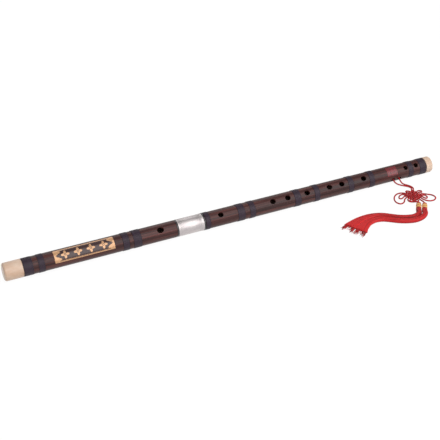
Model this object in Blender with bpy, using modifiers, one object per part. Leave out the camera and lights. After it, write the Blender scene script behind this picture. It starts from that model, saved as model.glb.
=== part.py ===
"""A two-section dizi with a knotted tassel, as it lies on a flat surface.

The flute's axis runs along X, with the head end at -X and the foot end at +X. A place along it
is called a station, and station 0 is halfway between the two ends. The finger holes face up and
towards -Y, and the tassel lies on the floor, z = 0, on the -Y side.
"""

import math

import bmesh
import bpy
from mathutils import Matrix, Vector

MM = 0.001

# Fits
CLEARANCE = 0.3 * MM
SIDES = 32
BINDING_SIDES = 24
HOLE_SIDES = 20

# Lengths along the flute, from the head end to the foot end
HEAD_CAP_LENGTH = 26.0 * MM
HEAD_BODY_LENGTH = 219.5 * MM
HEAD_RING_LENGTH = 2.6 * MM
SLEEVE_LENGTH = 38.5 * MM
FOOT_RING_LENGTH = 2.5 * MM
FOOT_BODY_LENGTH = 364.6 * MM
FOOT_CAP_LENGTH = 11.3 * MM

# Radii of the bamboo
HEAD_END_RADIUS = 12.35 * MM
FOOT_END_RADIUS = 11.95 * MM
BORE_RADIUS = 7.8 * MM
CAP_SPIGOT_RADIUS = 10.2 * MM
TENON_RADIUS = 10.1 * MM
HEAD_SPIGOT_LENGTH = 8.0 * MM

# Caps
CAP_STEP = 0.4 * MM
HEAD_CAP_WALL = 7.0 * MM
HEAD_CAP_ROUNDING = 3.0 * MM
FOOT_CAP_WALL = 4.0 * MM
FOOT_CAP_ROUNDING = 2.2 * MM
ROUNDING_STEPS = 4

# Metal joint
FERRULE_WALL = 0.7 * MM
SLEEVE_WALL = 0.95 * MM
BEAD_HEIGHT = 0.28 * MM
BEAD_LENGTH = 2.4 * MM
BEAD_STEPS = 5
FOOT_RING_STEP = 0.55 * MM

# Thread bindings: how far each one stands out, how deep its groove is, and its chamfer
BINDING_STEP = 0.4 * MM
GROOVE_DEPTH = 0.6 * MM
BINDING_CHAMFER = 0.3 * MM

# Bindings on the head: (distance from the cap's shoulder, width)
HEAD_BINDINGS = (
    (0.0 * MM, 12.8 * MM),
    (20.3 * MM, 8.4 * MM),
    (139.6 * MM, 9.0 * MM),
    (155.0 * MM, 11.4 * MM),
)
# Bindings on the foot: the first lies against the joint ring, (distance from that ring, width)
FOOT_FIRST_BINDING = (0.0 * MM, 6.8 * MM)
# and the others are placed by (distance of the far edge from the cap's shoulder, width)
FOOT_BINDINGS = (
    (303.5 * MM, 10.6 * MM),
    (287.0 * MM, 8.4 * MM),
    (213.7 * MM, 9.8 * MM),
    (182.7 * MM, 8.2 * MM),
    (125.8 * MM, 8.4 * MM),
    (90.4 * MM, 8.2 * MM),
    (22.8 * MM, 8.0 * MM),
    (0.0 * MM, 11.2 * MM),
)

# Holes in line, rolled this far from straight up towards the player: (along, across) sizes
HOLE_ROLL = math.radians(37.6)
EMBOUCHURE_FROM_RING = 23.9 * MM
EMBOUCHURE_SIZE = (10.2 * MM, 8.4 * MM)
MEMBRANE_FROM_RING = 24.0 * MM
MEMBRANE_SIZE = (8.4 * MM, 7.2 * MM)
FINGER_HOLES_FROM_CAP = (
    258.5 * MM,
    234.5 * MM,
    203.0 * MM,
    166.1 * MM,
    145.4 * MM,
    108.4 * MM,
)
FINGER_HOLE_SIZE = (8.8 * MM, 7.8 * MM)
FRONT_VENTS_FROM_CAP = (35.6 * MM, 17.6 * MM)
FRONT_VENT_SIZE = (7.2 * MM, 7.2 * MM)
REAR_VENTS_FROM_CAP = (58.2 * MM, 47.8 * MM)
REAR_VENT_SIZE = (6.4 * MM, 6.4 * MM)
REAR_VENT_ROLL = math.radians(110.0)

# Cork
CORK_LENGTH = 15.0 * MM
CORK_FROM_EMBOUCHURE = 11.0 * MM

# Knot: each strand crosses the others once, over and under in turn
CORD_RADIUS = 0.95 * MM
STRANDS = 5
STRAND_PITCH = 4.0 * MM
WEAVE_HEIGHT = 1.55 * MM
STEPS_PER_CROSSING = 3
EAR_POINT_SPACING = 2.6 * MM
HANGING_POINT_SPACING = 2.4 * MM
ENTRY_RUN = 2.4 * MM
NECK_RUN = 2.2 * MM
CORD_BEVEL_RESOLUTION = 1

# Tassel heads
TASSEL_CAP_RADIUS = 3.5 * MM
TASSEL_CAP_LENGTH = 14.0 * MM
TASSEL_CAP_NECK = 1.7 * MM
TASSEL_SPACING = 8.6 * MM
HEAD_SIDES = 16
BAND_STEP = 0.55 * MM
BAND_SEAT = 0.3 * MM
BAND_WIDTH = 3.8 * MM
BAND_STATIONS = (3.6 * MM, 8.6 * MM)

# Tassel skirts
SKIRT_SECTION_POINTS = 20
SKIRT_STEP = 5.2 * MM
SKIRT_START_SIZE = (4.3 * MM, 3.9 * MM)
SKIRT_GROOVE = 0.10
SKIRT_RAGGED = 7.0 * MM
FLOOR_GAP = 0.05 * MM
SHARP_ANGLE = math.radians(30)

# Stations and radii that follow from the lengths
TOTAL_LENGTH = (
    HEAD_CAP_LENGTH
    + HEAD_BODY_LENGTH
    + HEAD_RING_LENGTH
    + SLEEVE_LENGTH
    + FOOT_RING_LENGTH
    + FOOT_BODY_LENGTH
    + FOOT_CAP_LENGTH
)
HEAD_END = -TOTAL_LENGTH / 2
HEAD_SHOULDER = HEAD_END + HEAD_CAP_LENGTH
HEAD_RING_START = HEAD_SHOULDER + HEAD_BODY_LENGTH
SLEEVE_START = HEAD_RING_START + HEAD_RING_LENGTH
SLEEVE_END = SLEEVE_START + SLEEVE_LENGTH
FOOT_RING_END = SLEEVE_END + FOOT_RING_LENGTH
FOOT_SHOULDER = FOOT_RING_END + FOOT_BODY_LENGTH
FOOT_END = FOOT_SHOULDER + FOOT_CAP_LENGTH
HEAD_SPIGOT_END = SLEEVE_START + HEAD_SPIGOT_LENGTH
TENON_TIP = HEAD_SPIGOT_END + CLEARANCE
EMBOUCHURE = HEAD_RING_START - EMBOUCHURE_FROM_RING
FERRULE_RADIUS = TENON_RADIUS + CLEARANCE + FERRULE_WALL
SLEEVE_BORE = FERRULE_RADIUS + CLEARANCE
SLEEVE_RADIUS = SLEEVE_BORE + SLEEVE_WALL
SPIGOT_RADIUS = FERRULE_RADIUS

COLOURS = {
    "bamboo": ((0.16, 0.045, 0.035, 1), 0.35, 0.0),
    "thread": ((0.045, 0.022, 0.04, 1), 0.5, 0.0),
    "bone": ((0.72, 0.50, 0.36, 1), 0.4, 0.0),
    "horn": ((0.02, 0.015, 0.018, 1), 0.35, 0.0),
    "nickel": ((0.78, 0.76, 0.75, 1), 0.25, 1.0),
    "cork": ((0.45, 0.28, 0.15, 1), 0.8, 0.0),
    "silk": ((0.62, 0.01, 0.012, 1), 0.6, 0.0),
    "gold": ((0.85, 0.52, 0.16, 1), 0.35, 1.0),
}


def clear_scene():
    for item in list(bpy.data.objects):
        bpy.data.objects.remove(item, do_unlink=True)


def collection(name):
    found = bpy.data.collections.get(name)
    if found is None:
        found = bpy.data.collections.new(name)
        bpy.context.scene.collection.children.link(found)
    return found


def material(name):
    found = bpy.data.materials.get(name)
    if found is None:
        colour, roughness, metallic = COLOURS[name]
        found = bpy.data.materials.new(name)
        found.use_nodes = True
        shader = found.node_tree.nodes["Principled BSDF"]
        shader.inputs["Base Color"].default_value = colour
        shader.inputs["Roughness"].default_value = roughness
        shader.inputs["Metallic"].default_value = metallic
    return found


def add(name, mesh, material_name):
    item = bpy.data.objects.new(name, mesh)
    collection("dizi").objects.link(item)
    mesh.materials.clear()
    mesh.materials.append(material(material_name))
    return item


def tube_radius(station):
    """The bamboo's outer radius, which shrinks evenly from the head to the foot."""
    share = (station - HEAD_END) / TOTAL_LENGTH
    return HEAD_END_RADIUS + (FOOT_END_RADIUS - HEAD_END_RADIUS) * share


def flat_radius(radius, sides):
    """How far a flat side of a turned piece lies from its axis."""
    return radius * math.cos(math.pi / sides)


def axis_height():
    """The head cap is the widest piece, so one of its flats rests on the floor."""
    return flat_radius(HEAD_END_RADIUS + CAP_STEP, SIDES)


# Turned pieces


def turned(name, outline, material_name, sides=SIDES, closed=True, parent=None):
    """Turn (station, radius) points round the flute's axis.

    The points run down the outer side from the foot end to the head end. A closed outline
    comes back along the bore, and an open one starts and ends on the axis.
    """
    turn = math.pi / sides
    mesh = bpy.data.meshes.new(name)
    points = [(r * math.cos(turn), r * math.sin(turn), s) for s, r in outline]
    edges = [(i, i + 1) for i in range(len(points) - 1)]
    if closed:
        edges.append((len(points) - 1, 0))
    mesh.from_pydata(points, edges, [])
    item = add(name, mesh, material_name)
    screw = item.modifiers.new("turn", "SCREW")
    screw.axis = "Z"
    screw.angle = 2 * math.pi
    screw.steps = sides
    screw.render_steps = sides
    screw.use_merge_vertices = True
    screw.merge_threshold = 0.00001
    screw.use_smooth_shade = True
    item.rotation_euler = (0, math.pi / 2, 0)
    item.location = (0, 0, axis_height())
    if parent is not None:
        item.parent = parent
        item.location = (0, 0, 0)
    return item


def empty(name, height, parent=None):
    item = bpy.data.objects.new(name, None)
    collection("dizi").objects.link(item)
    item.location = (0, 0, height)
    if parent is not None:
        item.parent = parent
        item.location = (0, 0, 0)
    return item


def groove(start, width):
    """A binding's groove, from its foot side to its head side."""
    far, near = start + width + CLEARANCE, start - CLEARANCE
    deep = tube_radius(start + width / 2) - GROOVE_DEPTH
    return [(far, tube_radius(far)), (far, deep), (near, deep), (near, tube_radius(near))]


def rounded_corner(station, radius, rounding, outward):
    """Points of a quarter round at a cap's edge, where outward is +1 at the foot end."""
    points = []
    for step in range(ROUNDING_STEPS + 1):
        turn = math.pi / 2 * step / ROUNDING_STEPS
        along = rounding * (1 - math.cos(turn))
        inward = rounding * (1 - math.sin(turn))
        points.append((station - outward * along, radius - inward))
    return points


def head_binding_starts():
    return [(HEAD_SHOULDER + CLEARANCE + distance, width) for distance, width in HEAD_BINDINGS]


def foot_binding_starts():
    distance, width = FOOT_FIRST_BINDING
    found = [(FOOT_RING_END + CLEARANCE + distance, width)]
    for distance, width in FOOT_BINDINGS:
        found.append((FOOT_SHOULDER - CLEARANCE - distance - width, width))
    return found


def binding(name, start, width, parent):
    middle = tube_radius(start + width / 2)
    inner = middle - GROOVE_DEPTH + CLEARANCE
    outer = middle + BINDING_STEP
    end = start + width
    outline = [
        (end, inner),
        (end, outer - BINDING_CHAMFER),
        (end - BINDING_CHAMFER, outer),
        (start + BINDING_CHAMFER, outer),
        (start, outer - BINDING_CHAMFER),
        (start, inner),
    ]
    return turned(name, outline, "thread", sides=BINDING_SIDES, parent=parent)


def bead(start, length, base, height):
    """A rolled bead, from its foot side to its head side."""
    points = []
    for step in range(BEAD_STEPS + 1):
        share = step / BEAD_STEPS
        points.append((start + length * (1 - share), base + height * math.sin(math.pi * share)))
    return points


# Holes


def hole_cutter(name, holes, roll):
    """Elliptical cylinders from the flute's axis outwards, joined in one cutter."""
    depth = 2 * HEAD_END_RADIUS
    work = bmesh.new()
    turn = Matrix.Rotation(roll, 4, "X")
    for station, (along, across) in holes:
        place = Matrix.Translation((station, 0, 0)) @ turn @ Matrix.Translation((0, 0, depth / 2))
        scale = Matrix.Diagonal((along / 2, across / 2, depth, 1))
        bmesh.ops.create_cone(
            work,
            cap_ends=True,
            segments=HOLE_SIDES,
            radius1=1,
            radius2=1,
            depth=1,
            matrix=place @ scale,
        )
    mesh = bpy.data.meshes.new(name)
    work.to_mesh(mesh)
    work.free()
    item = bpy.data.objects.new(name, mesh)
    collection("cutters").objects.link(item)
    item.location = (0, 0, axis_height())
    item.hide_render = True
    item.display_type = "WIRE"
    return item


def cut(item, cutter):
    modifier = item.modifiers.new("holes", "BOOLEAN")
    modifier.operation = "DIFFERENCE"
    modifier.object = cutter
    modifier.solver = "EXACT"


# Flute sections


def build_head(parent):
    outline = [(HEAD_SPIGOT_END, BORE_RADIUS), (HEAD_SPIGOT_END, SPIGOT_RADIUS)]
    outline += [(HEAD_RING_START, SPIGOT_RADIUS), (HEAD_RING_START, tube_radius(HEAD_RING_START))]
    for start, width in reversed(head_binding_starts()[1:]):
        outline += groove(start, width)
    start, width = head_binding_starts()[0]
    first = groove(start, width)
    outline += first[:2]
    outline += [(HEAD_SHOULDER, first[2][1]), (HEAD_SHOULDER, CAP_SPIGOT_RADIUS)]
    spigot_end = HEAD_END + HEAD_CAP_WALL + CLEARANCE
    outline += [(spigot_end, CAP_SPIGOT_RADIUS), (spigot_end, BORE_RADIUS)]
    tube = turned("head_tube", outline, "bamboo", parent=parent)
    cut(tube, hole_cutter("embouchure_cutter", [(EMBOUCHURE, EMBOUCHURE_SIZE)], HOLE_ROLL))

    for number, (start, width) in enumerate(head_binding_starts(), 1):
        binding(f"head_binding_{number}", start, width, parent)

    cap_radius = HEAD_END_RADIUS + CAP_STEP
    cap_bore = CAP_SPIGOT_RADIUS + CLEARANCE
    wall_end = HEAD_END + HEAD_CAP_WALL
    face = rounded_corner(HEAD_END, cap_radius, HEAD_CAP_ROUNDING, -1)
    shoulder = HEAD_SHOULDER - CLEARANCE
    outline = [(wall_end, 0), (wall_end, cap_bore), (shoulder, cap_bore)]
    outline += [(shoulder, cap_radius - BINDING_CHAMFER), (shoulder - BINDING_CHAMFER, cap_radius)]
    outline += list(reversed(face)) + [(HEAD_END, 0)]
    turned("head_end_cap", outline, "bone", closed=False, parent=parent)

    ring_bore = SPIGOT_RADIUS + CLEARANCE
    ring_start, ring_end = HEAD_RING_START + CLEARANCE, SLEEVE_START - CLEARANCE
    ring_radius = tube_radius(HEAD_RING_START)
    outline = [(ring_end, ring_bore), (ring_end, ring_radius)]
    outline += [(ring_start, ring_radius), (ring_start, ring_bore)]
    turned("head_joint_ring", outline, "horn", parent=parent)

    cork_end = EMBOUCHURE - CORK_FROM_EMBOUCHURE
    cork_radius = BORE_RADIUS - CLEARANCE
    cork_start = cork_end - CORK_LENGTH
    outline = [(cork_end, 0), (cork_end, cork_radius), (cork_start, cork_radius), (cork_start, 0)]
    turned("stopper_cork", outline, "cork", closed=False, parent=parent)


def build_sleeve(parent):
    outline = [(SLEEVE_END, SLEEVE_BORE)]
    outline += bead(SLEEVE_END - BEAD_LENGTH, BEAD_LENGTH, SLEEVE_RADIUS, BEAD_HEIGHT)
    outline += bead(SLEEVE_START, BEAD_LENGTH, SLEEVE_RADIUS, BEAD_HEIGHT)
    outline += [(SLEEVE_START, SLEEVE_BORE)]
    turned("joint_sleeve", outline, "nickel", parent=parent)


def build_foot(parent):
    starts = foot_binding_starts()
    spigot_end = FOOT_END - FOOT_CAP_WALL - CLEARANCE
    last = groove(*starts[-1])
    outline = [(spigot_end, BORE_RADIUS), (spigot_end, CAP_SPIGOT_RADIUS)]
    outline += [(FOOT_SHOULDER, CAP_SPIGOT_RADIUS), (FOOT_SHOULDER, last[1][1])]
    outline += last[2:]
    for start, width in reversed(starts[1:-1]):
        outline += groove(start, width)
    first = groove(*starts[0])
    outline += first[:2]
    outline += [(FOOT_RING_END, first[2][1]), (FOOT_RING_END, TENON_RADIUS)]
    outline += [(TENON_TIP, TENON_RADIUS), (TENON_TIP, BORE_RADIUS)]
    tube = turned("foot_tube", outline, "bamboo", parent=parent)

    in_line = [(FOOT_RING_END + MEMBRANE_FROM_RING, MEMBRANE_SIZE)]
    in_line += [(FOOT_SHOULDER - distance, FINGER_HOLE_SIZE) for distance in FINGER_HOLES_FROM_CAP]
    in_line += [(FOOT_SHOULDER - distance, FRONT_VENT_SIZE) for distance in FRONT_VENTS_FROM_CAP]
    cut(tube, hole_cutter("finger_hole_cutter", in_line, HOLE_ROLL))
    vents = [(FOOT_SHOULDER - distance, REAR_VENT_SIZE) for distance in REAR_VENTS_FROM_CAP]
    cut(tube, hole_cutter("rear_vent_cutter", vents, REAR_VENT_ROLL))

    for number, (start, width) in enumerate(starts, 1):
        binding(f"foot_binding_{number}", start, width, parent)

    ferrule_end = SLEEVE_END
    outline = [(ferrule_end, TENON_RADIUS + CLEARANCE), (ferrule_end, FERRULE_RADIUS)]
    outline += [(TENON_TIP, FERRULE_RADIUS), (TENON_TIP, TENON_RADIUS + CLEARANCE)]
    turned("joint_tenon", outline, "nickel", parent=parent)

    ring_start, ring_end = SLEEVE_END + CLEARANCE, FOOT_RING_END - CLEARANCE
    ring_radius = tube_radius(FOOT_RING_END) + FOOT_RING_STEP
    ring_bore = TENON_RADIUS + CLEARANCE
    outline = [(ring_end, ring_bore), (ring_end, ring_radius - BINDING_CHAMFER)]
    outline += [(ring_end - BINDING_CHAMFER, ring_radius), (ring_start + BINDING_CHAMFER, ring_radius)]
    outline += [(ring_start, ring_radius - BINDING_CHAMFER), (ring_start, ring_bore)]
    turned("foot_joint_ring", outline, "horn", parent=parent)

    cap_radius = FOOT_END_RADIUS + CAP_STEP
    cap_bore = CAP_SPIGOT_RADIUS + CLEARANCE
    face = rounded_corner(FOOT_END, cap_radius, FOOT_CAP_ROUNDING, 1)
    shoulder = FOOT_SHOULDER + CLEARANCE
    wall_start = FOOT_END - FOOT_CAP_WALL
    outline = [(FOOT_END, BORE_RADIUS)] + face
    outline += [(shoulder + BINDING_CHAMFER, cap_radius), (shoulder, cap_radius - BINDING_CHAMFER)]
    outline += [(shoulder, cap_bore), (wall_start, cap_bore), (wall_start, BORE_RADIUS)]
    turned("foot_end_cap", outline, "bone", parent=parent)


# Cords

# From each rear vent to the knot: (x from the vents' middle, y, z)
HANGING_ROUTES = (
    ((-4.6, -15.6, 6.6), (-1.6, -18.4, 4.3), (3.2, -21.6, 2.9), (8.2, -25.4, 2.5), (11.8, -29.4, 2.5)),
    ((5.1, -15.4, 6.4), (6.4, -18.6, 4.0), (8.9, -21.4, 2.8), (11.8, -24.4, 2.5), (14.7, -28.9, 2.5)),
)
# Inside the bore: (share of the way from the vents' middle to the vent, reach from the axis)
BORE_ROUTE = ((0.46, 6.3), (0.83, 7.0), (0.97, 8.8), (0.98, 11.0))
BORE_REACH = 6.3 * MM
KNOT_ENTRY = (1.35 * MM, 17.6 * MM)


def smooth_route(points, spacing):
    """Points at about the given spacing on a smooth curve through hand-chosen points."""
    route = [Vector(p) for p in points]
    padded = [route[0] * 2 - route[1], *route, route[-1] * 2 - route[-2]]
    found = [route[0]]
    for four in zip(padded, padded[1:], padded[2:], padded[3:]):
        steps = max(1, round((four[2] - four[1]).length / spacing))
        found += [spline_point(four, step / steps) for step in range(1, steps + 1)]
    return found


def spline_point(four, share):
    """A centripetal Catmull-Rom curve's point, this share of the way from the second to the third."""
    times = [0.0]
    for first, second in zip(four, four[1:]):
        times.append(times[-1] + math.sqrt((second - first).length))
    at = times[1] + (times[2] - times[1]) * share

    def blend(points, reach):
        pairs = enumerate(zip(points, points[1:]))
        return [a.lerp(b, (at - times[i]) / (times[i + reach] - times[i])) for i, (a, b) in pairs]

    low, high = blend(blend(list(four), 1), 2)
    return low.lerp(high, share)


def cord(name, points):
    """A round cord along the given points."""
    curve = bpy.data.curves.new(name, "CURVE")
    curve.dimensions = "3D"
    curve.bevel_depth = CORD_RADIUS
    curve.bevel_resolution = CORD_BEVEL_RESOLUTION
    curve.use_fill_caps = True
    spline = curve.splines.new("POLY")
    spline.points.add(len(points) - 1)
    for target, point in zip(spline.points, points):
        target.co = (*point, 1)
    spline.use_smooth = True
    item = bpy.data.objects.new(name, curve)
    collection("dizi").objects.link(item)
    curve.materials.append(material("silk"))
    return item


def vent_middle():
    """The station halfway between the rear vents, which the tassel hangs from."""
    return FOOT_SHOULDER - sum(REAR_VENTS_FROM_CAP) / len(REAR_VENTS_FROM_CAP)


def from_vents(point):
    """A chosen point, given in millimetres from the vents' middle, on the floor's axes."""
    x, y, z = point
    return Vector((vent_middle() + x * MM, y * MM, z * MM))


def in_bore(along, reach):
    """A point on the rear vents' own plane, at the given distance from the flute's axis."""
    out = Vector((0, -math.sin(REAR_VENT_ROLL), math.cos(REAR_VENT_ROLL)))
    return Vector((vent_middle() + along, 0, axis_height())) + out * reach


def build_hanging_cord(number):
    """One side of the loop: from inside the bore, out at its vent, and down to the knot."""
    half = (REAR_VENTS_FROM_CAP[0] - REAR_VENTS_FROM_CAP[1]) / 2
    side = -1 if number == 1 else 1
    route = [in_bore(side * CLEARANCE / 2, BORE_REACH)]
    route += [in_bore(side * half * share, reach * MM) for share, reach in BORE_ROUTE]
    route += [from_vents(p) for p in HANGING_ROUTES[number - 1]]
    aside, up = KNOT_ENTRY
    lead = (up + CLEARANCE + ENTRY_RUN, up + CLEARANCE)
    route += [knot_frame() @ Vector((side * aside, reach, 0)) for reach in lead]
    cord(f"hanging_cord_{number}", smooth_route(route, HANGING_POINT_SPACING))


# Knot, in its own plane: x runs from its left corner to its right, y from its bottom to its top

KNOT_CENTRE = (5.3, -52.4, 0.0)
KNOT_TURN = math.radians(-26.8)
KNOT_LIFT = WEAVE_HEIGHT + CORD_RADIUS + FLOOR_GAP

# Ear loops, from the end of one strand to the start of the next
RIGHT_INNER_EAR = (
    (15.6, -3.7, -0.6),
    (18.7, -4.2, -1.2),
    (20.4, -0.8, -1.4),
    (18.4, 3.0, -1.2),
    (15.3, 3.1, -0.6),
)
RIGHT_OUTER_EAR = (
    (13.0, 6.9, -0.7),
    (20.5, 7.0, -1.4),
    (28.8, 4.8, -1.4),
    (32.6, -0.8, -1.4),
    (30.0, -7.4, -1.4),
    (22.4, -10.4, -1.4),
    (13.9, -7.7, -0.9),
)
LEFT_INNER_EAR = (
    (-14.9, -4.0, -0.6),
    (-18.4, -7.4, -1.2),
    (-21.3, -6.4, -1.4),
    (-21.0, -1.2, -1.4),
    (-18.0, 2.8, -1.2),
    (-15.2, 3.3, -0.6),
)
LEFT_OUTER_EAR = (
    (-12.6, 6.6, -0.7),
    (-18.4, 7.8, -1.4),
    (-25.0, 3.6, -1.4),
    (-28.9, -6.6, -1.4),
    (-27.0, -16.6, -1.4),
    (-20.6, -20.6, -1.4),
    (-15.4, -16.4, -1.4),
    (-13.4, -8.8, -1.0),
)
TOP_LEFT_EAR = ((-6.3, 12.2, -0.5), (-9.1, 13.2, -1.0), (-10.2, 10.5, -0.6))
TOP_RIGHT_EAR = (
    (6.0, 12.0, -0.4),
    (8.9, 14.9, -0.9),
    (12.9, 15.2, -1.2),
    (13.3, 11.8, -1.0),
    (9.6, 10.1, -0.5),
)
BOTTOM_LEFT_EAR = ((-3.3, -14.6, -0.4), (-5.7, -14.3, -0.6), (-6.4, -11.9, -0.4))
BOTTOM_RIGHT_EAR = ((3.3, -14.6, -0.4), (5.7, -14.3, -0.6), (6.4, -11.9, -0.4))
RIGHT_EXIT = ((9.4, -10.6, 0.0), (12.0, -15.4, 0.9))
LEFT_EXIT = ((-9.2, -10.4, 0.0), (-8.6, -14.6, 0.2), (-4.8, -17.4, 0.4), (0.4, -17.5, 0.9), (4.4, -18.2, 1.3))


def knot_frame():
    """From the knot's plane to the floor beside the flute."""
    lift = Vector((0, 0, KNOT_LIFT))
    return Matrix.Translation(from_vents(KNOT_CENTRE) + lift) @ Matrix.Rotation(KNOT_TURN, 4, "Z")


def crossing(i, j):
    """Where falling strand i meets rising strand j."""
    step = STRAND_PITCH / math.sqrt(2)
    return ((j - i) * step, (STRANDS + 1 - i - j) * step)


def strand(family, number, backwards=False):
    """One strand of the weave, half a pitch longer than its crossings at both ends."""
    found = []
    for step in range(STRANDS * STEPS_PER_CROSSING + 1):
        at = 0.5 + step / STEPS_PER_CROSSING
        rise = WEAVE_HEIGHT * math.cos(math.pi * (number + at))
        if family == "falling":
            found.append(Vector((*crossing(number, at), rise)))
        else:
            found.append(Vector((*crossing(at, number), -rise)))
    return found[::-1] if backwards else found


def joined(before, chosen, after):
    """A smooth stretch from the end of one run of points to the start of the next."""
    route = [*before[-2:], *[Vector(p) * MM for p in chosen], *after[:2]]
    curve = smooth_route(route, EAR_POINT_SPACING)
    lead, lag = (route[1] - route[0]).length, (route[-1] - route[-2]).length
    start = max(1, round(lead / EAR_POINT_SPACING)) + 1
    end = max(1, round(lag / EAR_POINT_SPACING)) + 1
    return curve[start:-end]


def weave(runs, stretches):
    """Runs of points one after another, each joined to the next by its stretch."""
    route = list(runs[0])
    for before, after, chosen in zip(runs, runs[1:], stretches):
        route += joined(before, chosen, after) + after
    return route


def knot_strands(number):
    """The runs of a knot cord and the stretches between them."""
    first, second = ("falling", "rising") if number == 1 else ("rising", "falling")
    runs = [
        strand(first, 1),
        strand(second, STRANDS),
        strand(second, STRANDS - 1, backwards=True),
        strand(first, 2, backwards=True),
        strand(first, 3),
    ]
    if number == 1:
        ears = (RIGHT_INNER_EAR, BOTTOM_LEFT_EAR, RIGHT_OUTER_EAR, TOP_LEFT_EAR)
        return runs, ears, RIGHT_EXIT
    return runs, (LEFT_INNER_EAR, BOTTOM_RIGHT_EAR, LEFT_OUTER_EAR, TOP_RIGHT_EAR), LEFT_EXIT


def build_knot_cord(number):
    """One of the two cords of the knot: in at the top, five strands, and out to its tassel."""
    frame = knot_frame()
    back = frame.inverted()
    runs, ears, leaving = knot_strands(number)
    aside, up = KNOT_ENTRY
    side = -1 if number == 1 else 1
    entry = [Vector((side * aside, up, 0)), Vector((side * aside, up - ENTRY_RUN, 0))]
    seat = head_start(number)
    end = [back @ (seat - heads_direction() * reach) for reach in (NECK_RUN, CLEARANCE)]
    route = weave([entry, *runs, end], [(), *ears, leaving])
    cord(f"knot_cord_{number}", [frame @ p for p in route])


# Tassels

HEADS_CENTRE = (-0.3, -83.1, 0.0)
HEADS_TURN = math.radians(237.3)
HEAD_HEIGHT = TASSEL_CAP_RADIUS + BAND_STEP + FLOOR_GAP

# The skirts' shared middle line past the heads: (x, y, half the spacing, half the height)
SKIRT_ROUTE = (
    (-7.6, -96.4, 4.3, 3.9),
    (-13.6, -101.6, 4.2, 4.0),
    (-24.2, -104.4, 4.0, 4.0),
    (-35.6, -102.2, 3.9, 4.0),
    (-47.2, -96.8, 3.9, 3.9),
    (-57.0, -89.4, 4.0, 3.7),
    (-66.5, -82.8, 4.4, 3.4),
    (-79.0, -79.0, 5.0, 3.0),
    (-92.6, -79.8, 6.0, 2.5),
    (-106.0, -84.8, 7.6, 1.9),
    (-119.6, -93.2, 9.6, 1.3),
)
SKIRT_START_RUN = 3.0 * MM


def heads_direction():
    """The way the two heads point, away from the knot."""
    return Vector((math.cos(HEADS_TURN), math.sin(HEADS_TURN), 0))


def towards_flute(ahead):
    """Sideways from a direction on the floor, to its right."""
    return ahead.cross(Vector((0, 0, 1)))


def tassel_side(number):
    """Tassel 2 lies on the flute's side of tassel 1."""
    return -1 if number == 1 else 1


def head_start(number):
    """The middle of a head's face towards the knot."""
    ahead = heads_direction()
    aside = towards_flute(ahead) * tassel_side(number) * TASSEL_SPACING / 2
    middle = from_vents(HEADS_CENTRE) + Vector((0, 0, HEAD_HEIGHT))
    return middle + aside - ahead * TASSEL_CAP_LENGTH / 2


def build_head_piece(name, outline, material_name, number, closed):
    item = turned(name, outline, material_name, sides=HEAD_SIDES, closed=closed)
    item.location = head_start(number)
    item.rotation_euler = (math.pi / 2, 0, HEADS_TURN + math.pi / 2)
    return item


def build_tassel_head(number):
    """A bound head with its two gold rings."""
    rings = [(start, start + BAND_WIDTH) for start in BAND_STATIONS]
    seat = TASSEL_CAP_RADIUS - CLEARANCE - BAND_SEAT
    outline = [(TASSEL_CAP_LENGTH, 0), (TASSEL_CAP_LENGTH, TASSEL_CAP_RADIUS - BINDING_CHAMFER)]
    for start, end in reversed(rings):
        far, near = end + CLEARANCE, start - CLEARANCE
        outline += [(far, TASSEL_CAP_RADIUS), (far, seat), (near, seat), (near, TASSEL_CAP_RADIUS)]
    outline += [(0, TASSEL_CAP_NECK), (0, 0)]
    build_head_piece(f"tassel_cap_{number}", outline, "silk", number, closed=False)
    for letter, (start, end) in zip("ab", rings):
        inner = TASSEL_CAP_RADIUS - BAND_SEAT
        outline = [(end, inner), *bead(start, BAND_WIDTH, TASSEL_CAP_RADIUS, BAND_STEP)]
        outline.append((start, inner))
        build_head_piece(f"tassel_band_{number}{letter}", outline, "gold", number, closed=True)


def skirt_section(middle, across, half_width, half_height):
    """One ring of a skirt, grooved between its strands."""
    found = []
    for k in range(SKIRT_SECTION_POINTS):
        turn = 2 * math.pi * k / SKIRT_SECTION_POINTS
        reach = 1 - SKIRT_GROOVE * (k % 2)
        side = across * (half_width * reach * math.cos(turn))
        found.append(middle + side + Vector((0, 0, half_height * reach * math.sin(turn))))
    return found


def skirt_line():
    """The shared middle line of the skirts, with half the spacing and height at each point."""
    ahead = heads_direction()
    start = from_vents(HEADS_CENTRE) + ahead * (TASSEL_CAP_LENGTH / 2 + CLEARANCE)
    route = [start, start + ahead * SKIRT_START_RUN]
    route += [from_vents((x, y, 0)) for x, y, _, _ in SKIRT_ROUTE]
    sizes = [SKIRT_START_SIZE, SKIRT_START_SIZE]
    sizes += [(spacing * MM, height * MM) for _, _, spacing, height in SKIRT_ROUTE]
    line = smooth_route(route, SKIRT_STEP)
    return line, [size_at(point, route, sizes) for point in line]


def size_at(point, route, sizes):
    """Blend the sizes of the two neighbouring route points that the point lies between."""
    lengths = [(b - a).length + (point - a).length + (b - point).length for a, b in zip(route, route[1:])]
    gaps = [total - 2 * (b - a).length for total, a, b in zip(lengths, route, route[1:])]
    index = gaps.index(min(gaps))
    share = (point - route[index]).length / (route[index + 1] - route[index]).length
    share = min(1.0, share)
    return tuple(a + (b - a) * share for a, b in zip(sizes[index], sizes[index + 1]))


def ragged_end(k, number):
    """How far a strand of the skirt's end runs past the others."""
    return SKIRT_RAGGED * (0.5 + 0.5 * math.sin(2.4 * k + 1.7 * number)) * (1 - k % 2)


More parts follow.
